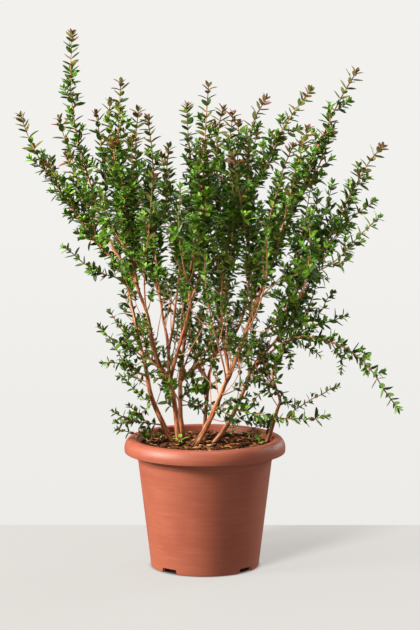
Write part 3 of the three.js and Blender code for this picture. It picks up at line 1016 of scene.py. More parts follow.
SPRIG_RADIUS = (0.75, 0.6)
LIMBS = (
    stem("stem_far_left", (-33, 8, 124), (-37, 9, 139), (-47, 11, 159), (-61, 15, 192), (-67, 22, 222),
         (-75, 30, 254), (-82, 36, 287), (-94, 42, 330), (-123, 48, 365), (-163, 55, 418), (-196, 59, 473),
         (-209, 60, 506), radius=(3.6, 1.5), bare=0.46),
    stem("stem_left", (-29, 3, 124), (-30, 4, 140), (-32.5, 8, 168), (-35.5, 11, 190), (-41, 13, 211),
         (-52, 6, 231), (-59, -2, 258), (-64, -9, 286), (-76, -16, 325), (-79, -22, 358), (-83, -28, 405),
         (-93, -33, 448), (-95, -37, 490), (-92, -40, 549), radius=(3.4, 1.4), bare=0.52),
    stem("stem_left_inner", (-23, 11, 124), (-24, 12, 140), (-27.5, 18, 168), (-28, 24, 190),
         (-28, 29, 210), (-24, 40, 245), (-15, 58, 310), (-10, 72, 390), (-14, 78, 435), (-19, 80, 480),
         (-21, 81, 516), radius=(3.3, 1.2), bare=0.5),
    stem("stem_centre_back", (-4, 10, 124), (-2, 12, 140), (3, 29, 196), (4, 34, 209), (14, 50, 245),
         (21, 68, 322), (17, 80, 405), (13, 84, 450), (15, 86, 485), (20, 86, 512), radius=(2.9, 1.1),
         bare=0.42),
    stem("stem_centre_front", (-18, -22, 124), (-12, -19, 140), (-3, -16, 153), (9, -13, 177),
         (21, -10, 206), (27, -9, 219), (39, -15, 249), (50, -24, 283), (74, -38, 350), (94, -43, 400),
         (112, -46, 446), (129, -48, 491), (149, -48, 533), (165, -48, 560), radius=(3.6, 1.5), bare=0.5),
    stem("stem_right_centre", (1, -4, 124), (8, -3, 139), (20, 0, 153), (33, 6, 175), (45, 11, 202),
         (52, 14, 220), (67, 10, 242), (79, 6, 256), (98, 2, 300), (121, -2, 352), (141, -5, 386),
         (162, -8, 423), (185, -10, 463), (197, -10, 476), radius=(3.1, 1.2), bare=0.4),
    stem("stem_right", (65, 8, 124), (69, 9, 139), (75, 8, 154), (82, 5, 178), (85, 3, 188), (80, 0, 203),
         (76, -6, 222), (88, -14, 250), (104, -20, 276), (118, -24, 305), (126, -26, 333),
         radius=(3.2, 1.1), bare=0.46),
    branch("branch_tall_left", "stem_left", (-76, -16, 325), (-88, -14, 343), (-100, -11, 360),
           (-113, -7, 388), (-127, -3, 432), (-141, 0, 482), (-148, 2, 525), (-149, 3, 560), (-147, 4, 600),
           radius=(1.7, 1.2), bare=0.24, twiggy=0.7),
    branch("branch_left_back", "stem_left", (-41, 13, 211), (-41, 20, 228), (-42, 27, 250), (-48, 35, 280),
           (-53, 42, 318), (-57, 48, 352), (-62, 52, 395), (-59, 55, 440), (-61, 56, 475), (-65, 57, 503),
           radius=(2.1, 1.2), bare=0.4),
    branch("branch_left_front", "stem_left", (-40, 14, 208), (-36, 6, 225), (-29, -2, 250), (-23, -9, 272),
           (-15, -16, 305), (-6, -22, 335), (-1, -27, 370), (-5, -31, 412), (-1, -34, 455), (1, -36, 505),
           (4, -37, 545), radius=(2.4, 1.3), bare=0.36),
    branch("branch_left_middle", "branch_left_back", (-42, 26, 246), (-37, 21, 264), (-34, 15, 290),
           (-30, 9, 320), (-27, 4, 352), (-33, 0, 375), (-42, -4, 404), (-43, -8, 440), (-40, -10, 476),
           radius=(1.8, 1.0), bare=0.42),
    branch("branch_cross_right", "stem_left_inner", (-28, 29, 208), (-18, 27, 217), (-3, 24, 228),
           (9, 20, 237), (22, 15, 248), (35, 9, 266), (44, 3, 290), (49, -3, 325), (49, -8, 370),
           (46, -12, 415), (47, -15, 462), (53, -17, 502), (67, -18, 530), radius=(2.0, 1.1), bare=0.44),
    branch("branch_back_fork", "stem_centre_back", (4, 33, 206), (-6, 38, 222), (-13, 44, 240),
           (-15, 54, 266), (-20, 66, 300), (-28, 80, 345), (-36, 90, 390), (-44, 96, 430), (-50, 98, 458),
           radius=(1.6, 0.9), bare=0.38),
    branch("branch_centre_right", "stem_centre_front", (26, -9, 217), (25, -2, 234), (21, 6, 255),
           (19, 14, 290), (21, 20, 335), (33, 25, 384), (57, 30, 433), (68, 33, 458), (92, 36, 500),
           (118, 38, 536), radius=(2.0, 1.1), bare=0.44),
    branch("branch_right_back", "stem_right_centre", (51, 14, 218), (49, 24, 232), (47, 34, 250),
           (52, 45, 285), (60, 55, 325), (70, 64, 365), (80, 70, 405), (87, 74, 438), (100, 77, 470),
           radius=(1.9, 1.0), bare=0.32),
    branch("branch_arching", "stem_right_centre", (55, 13, 224), (66, 2, 236), (80, -11, 251),
           (98, -24, 264), (120, -34, 266), (140, -42, 262), (156, -48, 256), (170, -52, 246),
           (185, -56, 231), (199, -59, 210), (214, -60, 190), radius=(1.9, 1.1), bare=0.26, twiggy=0.5),
    shoot("shoot_right_long", "stem_centre_front", (56, -28, 300), (68, -38, 318), (85, -46, 332),
          (104, -51, 339), (124, -54, 343), (143, -56, 354), (158, -58, 370), (173, -59, 386),
          (191, -60, 403)),
    shoot("shoot_low_right", "stem_right", (79, 6, 168), (92, 2, 168), (106, -4, 169), (121, -10, 170),
          (137, -14, 174), twiggy=0.3),
    shoot("shoot_left_mid", "stem_far_left", (-89, 40, 315), (-102, 34, 325), (-118, 30, 330),
          (-137, 26, 342), (-149, 24, 353), (-158, 22, 360)),
    shoot("shoot_left_lower", "stem_far_left", (-66, 21, 213), (-76, 10, 219), (-88, 2, 229),
          (-100, -6, 233), (-114, -12, 234), twiggy=0.6, shaded=True),
    shoot("shoot_left_front", "stem_far_left", (-69, 25, 234), (-80, 4, 246), (-95, -14, 257),
          (-110, -26, 268), (-117, -30, 278), twiggy=0.8, shaded=True),
    shoot("sprig_low_left", "stem_far_left", (-47, 11, 159), (-60, 4, 162), (-78, -4, 166), (-92, -10, 172),
          (-103, -14, 179), twiggy=0.6, shaded=True),
    shoot("shoot_left_inner", "stem_far_left", (-123, 48, 365), (-128, 44, 388), (-138, 40, 420),
          (-147, 38, 441), (-156, 36, 462)),
    shoot("shoot_top_left_a", "stem_left", (-83, -28, 405), (-96, -22, 435), (-103, -16, 470),
          (-106, -12, 500), (-105, -10, 525)),
    shoot("shoot_top_left_b", "branch_tall_left", (-113, -7, 388), (-111, 10, 420), (-114, 20, 450),
          (-118, 26, 485), (-122, 28, 510)),
    shoot("shoot_top_left_c", "branch_left_back", (-57, 48, 352), (-68, 42, 395), (-75, 36, 430),
          (-78, 33, 470), (-75, 32, 514)),
    shoot("shoot_top_right", "branch_centre_right", (19, 15, 292), (26, 4, 330), (31, -2, 380),
          (31, -4, 430), (27, -5, 470), (31, -6, 512)),
    shoot("shoot_right_mid", "stem_right_centre", (121, -2, 352), (136, -14, 366), (150, -20, 383),
          (165, -24, 400), (187, -26, 417)),
    shoot("shoot_right_low", "branch_arching", (98, -24, 264), (112, -18, 273), (127, -12, 277),
          (142, -8, 281), (157, -6, 286)),
    shoot("shoot_front_left", "stem_left", (-64, -9, 286), (-66, -42, 308), (-66, -66, 340),
          (-62, -84, 380), (-58, -96, 420), (-56, -102, 452), bare=0.42),
    shoot("shoot_front_middle", "branch_left_front", (-15, -16, 305), (-18, -48, 325), (-24, -74, 355),
          (-28, -94, 395), (-26, -106, 440), bare=0.5),
    shoot("shoot_front_right", "stem_centre_front", (46, -20, 270), (54, -55, 290), (62, -88, 318),
          (67, -114, 350), (66, -132, 385), bare=0.6, twiggy=0.5, shaded=True),
    shoot("shoot_front_low", "stem_centre_front", (24, -10, 212), (20, -48, 240), (10, -84, 282),
          (2, -114, 328), (0, -136, 372), bare=0.68, twiggy=0.5, shaded=True),
    shoot("shoot_front_far_right", "stem_right_centre", (98, 2, 300), (106, -32, 312), (112, -72, 342),
          (114, -100, 380), (112, -118, 415), bare=0.42),
    shoot("shoot_front_far_left", "stem_left", (-79, -22, 358), (-95, -52, 375), (-106, -82, 402),
          (-112, -106, 436), bare=0.42),
    shoot("shoot_back_left", "stem_left_inner", (-20, 48, 272), (-45, 75, 300), (-70, 100, 335),
          (-88, 118, 380), (-98, 130, 430)),
    shoot("shoot_back_middle", "stem_centre_back", (17, 60, 283), (10, 92, 315), (2, 116, 360),
          (-2, 130, 410), (0, 138, 455)),
    shoot("shoot_back_right", "branch_right_back", (60, 55, 325), (80, 88, 350), (96, 110, 385),
          (106, 126, 428)),
    shoot("shoot_back_low_left", "stem_left_inner", (-27, 28, 180), (-50, 62, 218), (-75, 92, 254),
          (-95, 116, 296)),
)
SPRIGS = (
    sprig("stem_far_left", (-59, 14, 186), (-68, 4, 190), (-76, -4, 200), (-83, -8, 207), (-89, -10, 214)),
    sprig("stem_far_left", (-64, 18, 207), (-75, 20, 211), (-85, 22, 214), (-97, 24, 212)),
    sprig("stem_far_left", (-65, 20, 215), (-77, 14, 220), (-85, 10, 226), (-92, 6, 234), (-99, 2, 246),
          (-107, 0, 258), twiggy=0.7),
    sprig("stem_far_left", (-67, 23, 225), (-75, 28, 233), (-82, 30, 243), (-87, 32, 254), (-94, 34, 264),
          (-102, 36, 276), (-108, 37, 285), twiggy=0.7),
    sprig("stem_far_left", (-68, 24, 240), (-78, 22, 254), (-88, 20, 268), (-98, 19, 276), twiggy=0.9),
    sprig("stem_far_left", (-60, 14, 184), (-70, 8, 175), (-78, 4, 171), (-84, 2, 174)),
    sprig("stem_far_left", (-42, 10, 147), (-58, 0, 150), (-76, -8, 152), (-88, -12, 156), (-99, -14, 158)),
    sprig("sprig_low_left", (-78, -4, 166), (-86, -12, 168), (-93, -16, 165), (-100, -18, 168), twiggy=0.6),
    sprig("sprig_low_left", (-66, 2, 163), (-72, 8, 170), (-80, 12, 176), (-86, 14, 181), twiggy=0.5),
    sprig("stem_left", (-36, 16, 178), (-41, 4, 184), (-44, -2, 190), (-42, -4, 197), shaded=False),
    sprig("stem_left", (-40, 14, 203), (-40, -2, 207), (-43, -8, 210), (-37, -12, 213), shaded=False),
    sprig("stem_left", (-42, 13, 213), (-52, 2, 214), (-60, -6, 218), (-66, -10, 226), (-70, -12, 238)),
    sprig("stem_left_inner", (-27, 28, 190), (-22, 16, 193), (-19, 10, 197), (-20, 6, 203)),
    sprig("stem_left_inner", (-27, 28, 186), (-20, 20, 184), (-10, 10, 184), (0, 2, 184), (10, -4, 185)),
    sprig("stem_left_inner", (-26, 28, 178), (-14, 22, 180), (-4, 16, 176), (4, 12, 172)),
    sprig("stem_left_inner", (-28, 29, 208), (-16, 18, 213), (-10, 8, 210), (-6, 2, 203), shaded=False),
    sprig("stem_centre_back", (3, 29, 196), (-2, 12, 203), (-8, 4, 206), (-12, 0, 202), shaded=False),
    sprig("stem_centre_back", (3, 30, 200), (10, 18, 206), (14, 12, 214), (12, 8, 224), (6, 6, 232)),
    sprig("stem_centre_front", (13, -12, 184), (22, -16, 183), (32, -20, 182), (42, -24, 181),
          (52, -27, 179), (62, -30, 178), (72, -34, 176), (84, -37, 173), shaded=False),
    sprig("stem_centre_front", (12, -13, 181), (18, -19, 186), (24, -23, 190), (31, -25, 194), twiggy=0.5),
    sprig("stem_centre_front", (8, -14, 170), (18, -20, 169), (28, -24, 170), (36, -26, 169), bare=0.5),
    sprig("stem_centre_front", (20, -10, 195), (30, -16, 202), (38, -20, 207), (46, -22, 213),
          (55, -24, 217), bare=0.45, twiggy=0.6),
    sprig("stem_centre_front", (10, -13, 178), (20, -22, 180), (27, -26, 176), (33, -28, 170)),
    sprig("stem_right_centre", (36, 7, 182), (38, -6, 188), (42, -12, 194), (48, -14, 197), twiggy=0.6),
    sprig("stem_right_centre", (38, 8, 186), (44, -4, 184), (51, -8, 185), (57, -10, 186)),
    sprig("stem_right_centre", (33, 6, 175), (42, 0, 167), (50, -4, 166), (57, -6, 169)),
    sprig("stem_right_centre", (50, 13, 214), (60, 6, 219), (68, 2, 223), (76, -2, 229), (84, -4, 239)),
    sprig("stem_right_centre", (46, 11, 205), (50, 0, 211), (57, -6, 213), (64, -10, 210)),
    sprig("stem_right", (80, 0, 203), (74, -10, 207), (68, -14, 212), (62, -16, 217), twiggy=0.7),
    sprig("stem_right", (81, 0, 201), (76, -8, 198), (68, -12, 203), (60, -14, 198), (53, -16, 188)),
    sprig("stem_right", (79, -2, 210), (82, -10, 214), (79, -14, 220), (82, -16, 226)),
    sprig("stem_right", (80, 0, 202), (86, -4, 199), (90, -6, 192)),
    sprig("stem_right", (85, 3, 186), (92, -2, 187), (98, -4, 184), (104, -6, 187)),
    sprig("stem_right", (79, 6, 166), (70, -4, 167), (62, -8, 163), (55, -10, 159), (50, -12, 153),
          twiggy=0.6),
    sprig("stem_right", (77, 7, 160), (70, -2, 158), (64, -6, 165), (58, -8, 169), twiggy=0.5),
    sprig("shoot_low_right", (92, 2, 168), (100, 2, 177), (110, 0, 184), (120, -2, 191), (132, -4, 197),
          (141, -5, 203), (149, -6, 207), twiggy=0.3),
    sprig("stem_left_inner", (-28, 29, 208), (-24, 20, 224), (-17, 12, 243), (-9, 4, 262), (-2, 0, 282),
          bare=0.6),
    sprig("stem_left_inner", (-28, 29, 206), (-16, 22, 222), (-3, 14, 246), (6, 8, 266), (14, 4, 290),
          bare=0.6),
    sprig("stem_left_inner", (-28, 28, 204), (-19, 16, 216), (-8, 6, 232), (4, -2, 252), (16, -8, 276),
          bare=0.5),
    sprig("stem_left_inner", (-28, 29, 209), (-22, 34, 226), (-12, 38, 250), (-4, 40, 276), (2, 40, 300),
          bare=0.5),
    sprig("branch_tall_left", (-130, -3, 440), (-142, -12, 458), (-153, -16, 480), (-161, -14, 507),
          shaded=False),
    sprig("stem_left", (-41, 13, 211), (-40, 22, 226), (-34, 28, 248), (-30, 30, 274), bare=0.6),
    sprig("stem_left", (-41, 13, 211), (-52, 14, 222), (-64, 12, 240), (-70, 8, 262), (-74, 4, 284),
          bare=0.5),
    sprig("stem_right_centre", (45, 11, 202), (40, 2, 214), (38, -6, 232), (32, -12, 252), (30, -16, 274),
          bare=0.5),
    sprig("stem_right_centre", (52, 14, 220), (60, 20, 236), (66, 24, 256), (74, 26, 278), bare=0.6),
    sprig("stem_right", (80, 0, 203), (70, 6, 214), (62, 10, 230), (56, 12, 250), bare=0.6),
    sprig("branch_cross_right", (-18, 27, 217), (-9, 18, 230), (1, 10, 243), (10, 4, 262), (17, 0, 281),
          (24, -4, 298), bare=0.5, twiggy=0.6),
    sprig("stem_left_inner", (-28, 30, 212), (-25, 34, 234), (-19, 36, 249), (-12, 38, 269), (-4, 40, 287),
          bare=0.6),
    sprig("branch_cross_right", (-10, 25, 222), (2, 14, 232), (14, 8, 246), (26, 2, 261), (37, -2, 279),
          (45, -6, 298), bare=0.5, twiggy=0.6),
    sprig("stem_centre_back", (3, 33, 206), (-8, 24, 222), (-12, 16, 239), (-15, 10, 254), (-17, 6, 278),
          (-17, 4, 296), bare=0.5),
    sprig("stem_centre_front", (17, -11, 193), (13, 4, 208), (10, 12, 224), (12, 18, 244), (19, 22, 264),
          (27, 24, 287), bare=0.5, twiggy=0.6),
    sprig("stem_centre_front", (26, -9, 217), (29, -2, 236), (27, 4, 253), (30, 8, 273), (37, 10, 295),
          bare=0.5),
    sprig("branch_left_front", (-29, -2, 250), (-19, 14, 262), (-17, 8, 279), (-18, 4, 298), bare=0.4),
    sprig("branch_arching", (80, -11, 251), (92, -14, 247), (96, -16, 240), (95, -17, 231)),
    sprig("branch_arching", (98, -24, 264), (112, -22, 254), (122, -22, 249), (128, -22, 244)),
    sprig("branch_arching", (140, -42, 262), (147, -44, 250), (152, -46, 241), (151, -47, 230)),
    sprig("branch_arching", (98, -24, 264), (110, -20, 278), (121, -16, 285), (131, -12, 294),
          (136, -10, 305), (144, -8, 313), twiggy=0.5),
)


@dataclass(frozen=True)
class LeafShape:
    """One form of leaf, lying along +X from its stalk, with its upper side towards +Z."""

    length: float = 11 * MM
    width: float = 4.4 * MM
    fold: float = 0.28  # how far the two halves rise to the sides, as a share of the half width
    droop: float = 0.10  # how far the tip curls down, as a share of the length
    sway: float = 0.0  # how far the tip bends to one side, as a share of the length
    thickness: float = 0.28 * MM

    def build(self, kind: LeafKind, column: int, stretches: int) -> bpy.types.Mesh:
        """Shapes a thin closed leaf and maps it to its cell of the atlas.

        Args:
            kind: The leaf's kind, the atlas row.
            column: The atlas column.
            stretches: How many faces long it is.

        Returns:
            The leaf's mesh.
        """
        bm = bmesh.new()
        uv_layer = bm.loops.layers.uv.new(LEAF_MAP)
        bmesh.ops.create_grid(bm, x_segments=stretches, y_segments=2, size=0.5, calc_uvs=True)
        for vert in bm.verts:
            vert.co = self._shaped(vert.co.x + 0.5, vert.co.y * 2)
        bmesh.ops.solidify(bm, geom=bm.faces[:], thickness=self.thickness)
        bm.normal_update()
        for face in bm.faces:
            face.smooth = True
            under = 0.5 if face.normal.z < 0 else 0.0
            for loop in face.loops:
                along, side = loop[uv_layer].uv
                cell = (0.02 + 0.96 * along, under + 0.02 + 0.46 * side)
                loop[uv_layer].uv = ((column + cell[0]) / ATLAS_CELLS, (kind.value + cell[1]) / ATLAS_CELLS)
        for edge in bm.edges:
            edge.smooth = edge.calc_face_angle(0.0) < math.radians(60)
        return mesh_from(bm, "leaf")

    def _shaped(self, along: float, side: float) -> Vector:
        """Where a point of the flat grid goes on the leaf.

        Args:
            along: 0 at the stalk to 1 at the tip.
            side: -1 to 1 across the blade.

        Returns:
            The point.
        """
        blade = max(0.0, (along - 0.04) / 0.96)
        half = 0.5 * self.width * (2.45 * blade**0.6 * (1 - blade) ** 0.75 + 0.06)
        y = side * half + self.sway * self.length * along**2
        z = abs(side) * half * self.fold - self.droop * self.length * along**2
        return Vector((along * self.length, y, z))


LEAF_SHAPES = (
    LeafShape(length=11.5 * MM, width=4.6 * MM, droop=0.02, fold=0.3),
    LeafShape(length=12 * MM, width=4.4 * MM, droop=0.14, fold=0.35, sway=0.05),
    LeafShape(length=11.5 * MM, width=4.8 * MM, droop=-0.1, fold=0.25, sway=-0.05),
    LeafShape(length=11 * MM, width=4.5 * MM, droop=-0.16, fold=0.4),
    LeafShape(length=11 * MM, width=4.8 * MM, droop=0.12, fold=0.25),
    LeafShape(length=11.5 * MM, width=4.6 * MM, droop=0.18, fold=0.3, sway=-0.04),
    LeafShape(length=10.5 * MM, width=5.0 * MM, droop=0.05, fold=0.2, sway=0.04),
    LeafShape(length=10 * MM, width=4.6 * MM, droop=-0.06, fold=0.35),
)
NARROW = range(0, 4)  # the columns of the narrow leaves
BROAD = range(4, 8)
RED_KINDS = (LeafKind.RED, LeafKind.RED, LeafKind.RED, LeafKind.BRONZE)
BRONZE_KINDS = (LeafKind.BRONZE, LeafKind.BRONZE, LeafKind.MATURE, LeafKind.GREEN)
YOUNG_KINDS = (LeafKind.GREEN, LeafKind.FRESH, LeafKind.FRESH, LeafKind.BRIGHT)
GROWN_KINDS = (LeafKind.SHADE, LeafKind.MATURE, LeafKind.MATURE, LeafKind.GREEN, LeafKind.FRESH)
TUFT_KINDS = (LeafKind.GREEN, LeafKind.FRESH, LeafKind.BRIGHT, LeafKind.MATURE)


class LeafAtlas:
    """Every leaf's mesh: a full and a small one for each kind and column, made once and copied."""

    STRETCHES = {False: 5, True: 3}  # how many faces long a leaf is, by whether it is small

    def __init__(self) -> None:
        """Builds the meshes."""
        self.meshes = {
            (kind, column, small): LEAF_SHAPES[column].build(kind, column, stretches)
            for kind in LeafKind
            for column in range(ATLAS_CELLS)
            for small, stretches in self.STRETCHES.items()
        }

    def add(
        self, bm: BMesh, kind: LeafKind, column: int, matrix: Matrix, small: bool = False
    ) -> None:
        """Adds one leaf to a piece's mesh.

        Args:
            bm: The piece's mesh.
            kind: The leaf's kind.
            column: Its column of the atlas.
            matrix: Its place, turn and size.
            small: Whether it is one of a tuft, with fewer faces.
        """
        stamp(bm, self.meshes[kind, column, small], matrix)


@dataclass
class Twig:
    """A leafy line: the top of a limb, a long shoot beside it or a side twig."""

    path: Path
    start: float  # distance at which its leaves begin
    radius: tuple[float, float]
    leader: bool = False  # whether it ends in red young leaves
    shaded: bool = False  # whether it grows from bare wood, below the leafy mass
    forked: bool = False  # whether it grows from a branch, not straight from the main stem


@dataclass
class Habit:
    """How the shrub grows: the spacing, angles and sizes of its twigs and leaves."""

    seed: int = 20
    unevenness: tuple = (0.7, 1.3)  # of the gaps between side twigs

    tip_radius: float = 0.55 * MM
    bare_taper: float = 0.8
    leafy_taper: float = 1.3
    flare: float = 0.7  # how much thicker a limb is where it leaves another
    flare_reach: float = 3 * MM
    swelling: float = 0.22  # how much thicker a limb is where a branch leaves it
    swelling_reach: float = 5 * MM
    young_radius: float = 0.9 * MM  # thinner wood has young bark
    aging_radius: float = 1.4 * MM  # how much thicker than that old wood is
    aging_length: float = 110 * MM  # how far behind its tip a limb is grown
    length_share: float = 0.25  # how much of a limb's age that makes up

    side_gap: float = 11.0 * MM  # between side twigs on a leafy limb
    bare_gap: float = 22.0 * MM  # between side twigs on bare wood
    side_length: tuple[float, float] = (10 * MM, 30 * MM)
    bare_length: tuple[float, float] = (24 * MM, 90 * MM)
    side_share: float = 0.42  # a side twig's greatest length, of what its limb has left
    side_short: float = 12 * MM  # up to this length a side twig is thinner
    side_radius: float = 0.62 * MM
    short_radius: float = 0.45 * MM
    end_radius: float = 0.3 * MM
    side_lean: tuple = (38, 62)  # degrees from its limb
    side_turn: float = 2.4  # from one side twig to the next
    side_pull: float = 0.16  # how strongly side twigs turn upwards
    side_lead: float = 20 * MM  # how far below the leaves the side twigs are leafy
    leafy_bare: float = 0.1  # the share of a side twig below its leaves
    shaded_bare: float = 0.62  # the same on bare wood
    stem_clear: float = 60 * MM  # no side twigs this near to a main stem's foot
    fork_clear: float = 18 * MM  # or to that of another limb
    tip_clear: float = 42 * MM  # or to a long limb's tip
    tip_clear_share: float = 0.4  # or to a short limb's, as a share of its length

    companion_gap: float = 30 * MM  # between the long shoots that rise beside a limb
    companion_length: tuple[float, float] = (80 * MM, 170 * MM)
    companion_lead: float = 30 * MM  # how far below the leaves they begin
    companion_stagger: float = 20.0  # by how many millimetres the first is moved up
    companion_last: float = 130 * MM  # none begins this near to the limb's tip
    companion_short: float = 60 * MM  # how much sooner than the limb they end
    companion_lean: tuple = (10, 22)
    companion_pull: float = 0.06
    companion_bare: float = 0.14
    companion_radius: tuple = (1.25 * MM, 0.5 * MM)
    companion_clear: float = 14 * MM

    growth_step: float = 7 * MM  # between the bends of a twig
    jitter: float = 0.11
    follow: float = 0.06  # how strongly a twig keeps its limb's direction

    pair_gap: float = 7.0 * MM  # between leaf pairs on a long shoot
    gap_growth: float = 0.2  # how much of that gap each pair below the tip gains
    young_pairs: int = 3  # at the tip, small and half open
    leaf_lean: float = 30  # degrees, at the tip
    leaf_opening: float = 34  # how many more when it is grown
    leaf_uplook: float = 0.35  # how strongly leaves turn to the light
    leaf_roll: float = 0.22
    leader_size: float = 1.12
    shaded_size: float = 0.8
    red_above: float = 450 * MM  # how high a long shoot must end for its young leaves to be red
    red_pairs: int = 4
    bronze_pairs: int = 14

    tuft_chance: float = 0.3  # of a tuft of small leaves between a leaf and its twig
    tuft_leaves: tuple = (2, 3, 4)
    tuft_turn: float = 1.8
    tuft_lean: tuple = (14, 38)
    tuft_size: tuple = (0.36, 0.6)


class Shrub:
    """The whole plant above the potting mix, grown from its limbs."""

    def __init__(self, habit: Habit, atlas: LeafAtlas) -> None:
        """Lays every limb's line.

        Args:
            habit: How it grows.
            atlas: Its leaves.
        """
        self.habit = habit
        self.atlas = atlas
        self.limbs = {limb.name: limb for limb in (*LIMBS, *SPRIGS)}
        self.paths: dict[str, Path] = {}
        self.starts: dict[str, float] = {}
        for limb in self.limbs.values():
            points = [Vector(point) * MM for point in limb.points]
            if limb.parent:
                parent = self.paths[limb.parent]
                self.starts[limb.name] = parent.nearest(Vector(limb.near) * MM)
                points.insert(0, parent.at(self.starts[limb.name]))
            self.paths[limb.name] = Path(points)

    def root_of(self, limb: Limb) -> str:
        """The name of the main stem that a limb grows from."""
        while limb.parent:
            limb = self.limbs[limb.parent]
        return limb.name

    def forked(self, limb: Limb) -> bool:
        """Whether a limb is a branch of a main stem, or grows from one."""
        while limb.growth is not Growth.BRANCH:
            limb = self.limbs[limb.parent]
        return bool(limb.parent)

    def radius_at(self, limb: Limb, distance: float) -> float:
        """A limb's radius at a distance from its start, with its flared foot and swollen forks.

        Args:
            limb: The limb.
            distance: The distance.

        Returns:
            The radius in metres.
        """
        habit = self.habit
        path = self.paths[limb.name]
        start, leafy = (r * MM for r in limb.radius)
        bare = limb.bare * path.length
        if distance < bare:
            radius = start + (leafy - start) * (distance / bare) ** habit.bare_taper
        else:
            share = (distance - bare) / (path.length - bare)
            radius = leafy + (habit.tip_radius - leafy) * min(1.0, share) ** habit.leafy_taper
        if limb.parent:
            radius *= 1 + habit.flare * math.exp(-distance / habit.flare_reach)
        for other in LIMBS:
            if other.parent == limb.name and other.growth is Growth.BRANCH:
                away = (distance - self.starts[other.name]) / habit.swelling_reach
                radius *= 1 + habit.swelling * math.exp(-(away**2))
        return radius

    def wood(self, root: str, material: Material) -> Object:
        """One main stem with all its branches' bare wood.

        Args:
            root: The main stem's name.
            material: The bark.

        Returns:
            The piece.
        """
        bm = bmesh.new()
        bark_layers(bm)
        for limb in self.limbs.values():
            if self.root_of(limb) != root:
                continue
            path = self.paths[limb.name]
            tube = Tube(
                path,
                lambda distance, limb=limb: self.radius_at(limb, distance),
                sides=14 if limb.growth is Growth.BRANCH else 8,
                step=2.5 * MM,
                lumps=0.4 * MM if limb.growth is Growth.BRANCH else 0.0,
                age_at=lambda distance, limb=limb: self._age(limb, distance),
            )
            join(bm, tube.build())
        return piece_from(bm, root + "_wood", material)

    def _age(self, limb: Limb, distance: float) -> float:
        """How old a limb's wood is at a distance from its start, by its tip and thickness, 0 to 1."""
        habit = self.habit
        left = min(1.0, (self.paths[limb.name].length - distance) / habit.aging_length)
        thick = max(0.0, (self.radius_at(limb, distance) - habit.young_radius) / habit.aging_radius)
        return min(1.0, habit.length_share * left + (1 - habit.length_share) * thick)

    def twigs(self, root: str) -> Iterator[Twig]:
        """Every leafy line of one main stem: its limbs' tops, the long shoots beside them and the side twigs.

        Args:
            root: The main stem's name.

        Yields:
            The twigs, in a fixed order.
        """
        for limb in self.limbs.values():
            if self.root_of(limb) == root:
                rng = random.Random(f"{self.habit.seed}-{limb.name}")
                for twig in self._limb_twigs(limb, rng):
                    twig.forked = self.forked(limb)
                    yield twig

    def _limb_twigs(self, limb: Limb, rng: random.Random) -> Iterator[Twig]:
        """The leafy lines of one limb.

        Args:
            limb: The limb.
            rng: The limb's own source of chance.

        Yields:
            The limb's top, its side twigs, and the long shoots beside it with theirs.
        """
        habit = self.habit
        path = self.paths[limb.name]
        start = limb.bare * path.length
        leader = path.places[-1].z > habit.red_above
        yield Twig(path, start, (0.0, 0.0), leader, limb.shaded)
        woody = limb.growth is Growth.BRANCH and limb.twiggy == 1.0
        first = habit.stem_clear if woody and not limb.parent else habit.fork_clear
        yield from self._side_twigs(path, first, start, rng, limb.twiggy, limb.shaded)
        distance = max(first, start - habit.companion_lead) + rng.uniform(0, habit.companion_stagger) * MM
        while woody and distance < path.length - habit.companion_last:
            length = min(rng.uniform(*habit.companion_length), path.length - distance - habit.companion_short)
            lean = math.radians(rng.uniform(*habit.companion_lean))
            beside = self._grown(path, distance, rng.uniform(0, TAU), lean, length, rng, habit.companion_pull)
            leader = beside.places[-1].z > habit.red_above
            yield Twig(beside, habit.companion_bare * length, habit.companion_radius, leader)
            yield from self._side_twigs(beside, habit.companion_clear, 0.0, rng)
            distance += habit.companion_gap * rng.uniform(*habit.unevenness)

    def _side_twigs(
        self, path: Path, first: float, start: float, rng: random.Random, twiggy: float = 1.0,
        shaded: bool = False,
    ) -> Iterator[Twig]:
        """The side twigs of one line, closer where it is leafy.

        Args:
            path: The line.
            first: Where on it the first side twig may begin.
            start: Where on it the leaves begin.
            rng: The source of chance.
            twiggy: How the side twigs are scaled.
            shaded: Whether the whole line grows in the shade.

        Yields:
            The side twigs.
        """
        habit = self.habit
        distance = first
        turn = rng.uniform(0, TAU)
        last = path.length - min(habit.tip_clear, habit.tip_clear_share * path.length)
        while distance < last:
            leafy = distance > start - habit.side_lead
            left = path.length - distance
            turn += habit.side_turn + rng.uniform(-0.5, 0.5)
            if leafy:
                longest = min(habit.side_length[1], habit.side_share * left) * twiggy
                length = rng.uniform(min(habit.side_length[0] * twiggy, longest), longest)
            else:
                length = rng.uniform(*habit.bare_length)
            lean = math.radians(rng.uniform(*habit.side_lean))
            twig = self._grown(path, distance, turn, lean, length, rng, habit.side_pull)
            thick = habit.side_radius if length > habit.side_short else habit.short_radius
            bare = habit.leafy_bare if leafy else habit.shaded_bare
            yield Twig(twig, bare * length, (thick, habit.end_radius), shaded=shaded or not leafy)
            distance += (habit.side_gap if leafy else habit.bare_gap) * rng.uniform(*habit.unevenness)

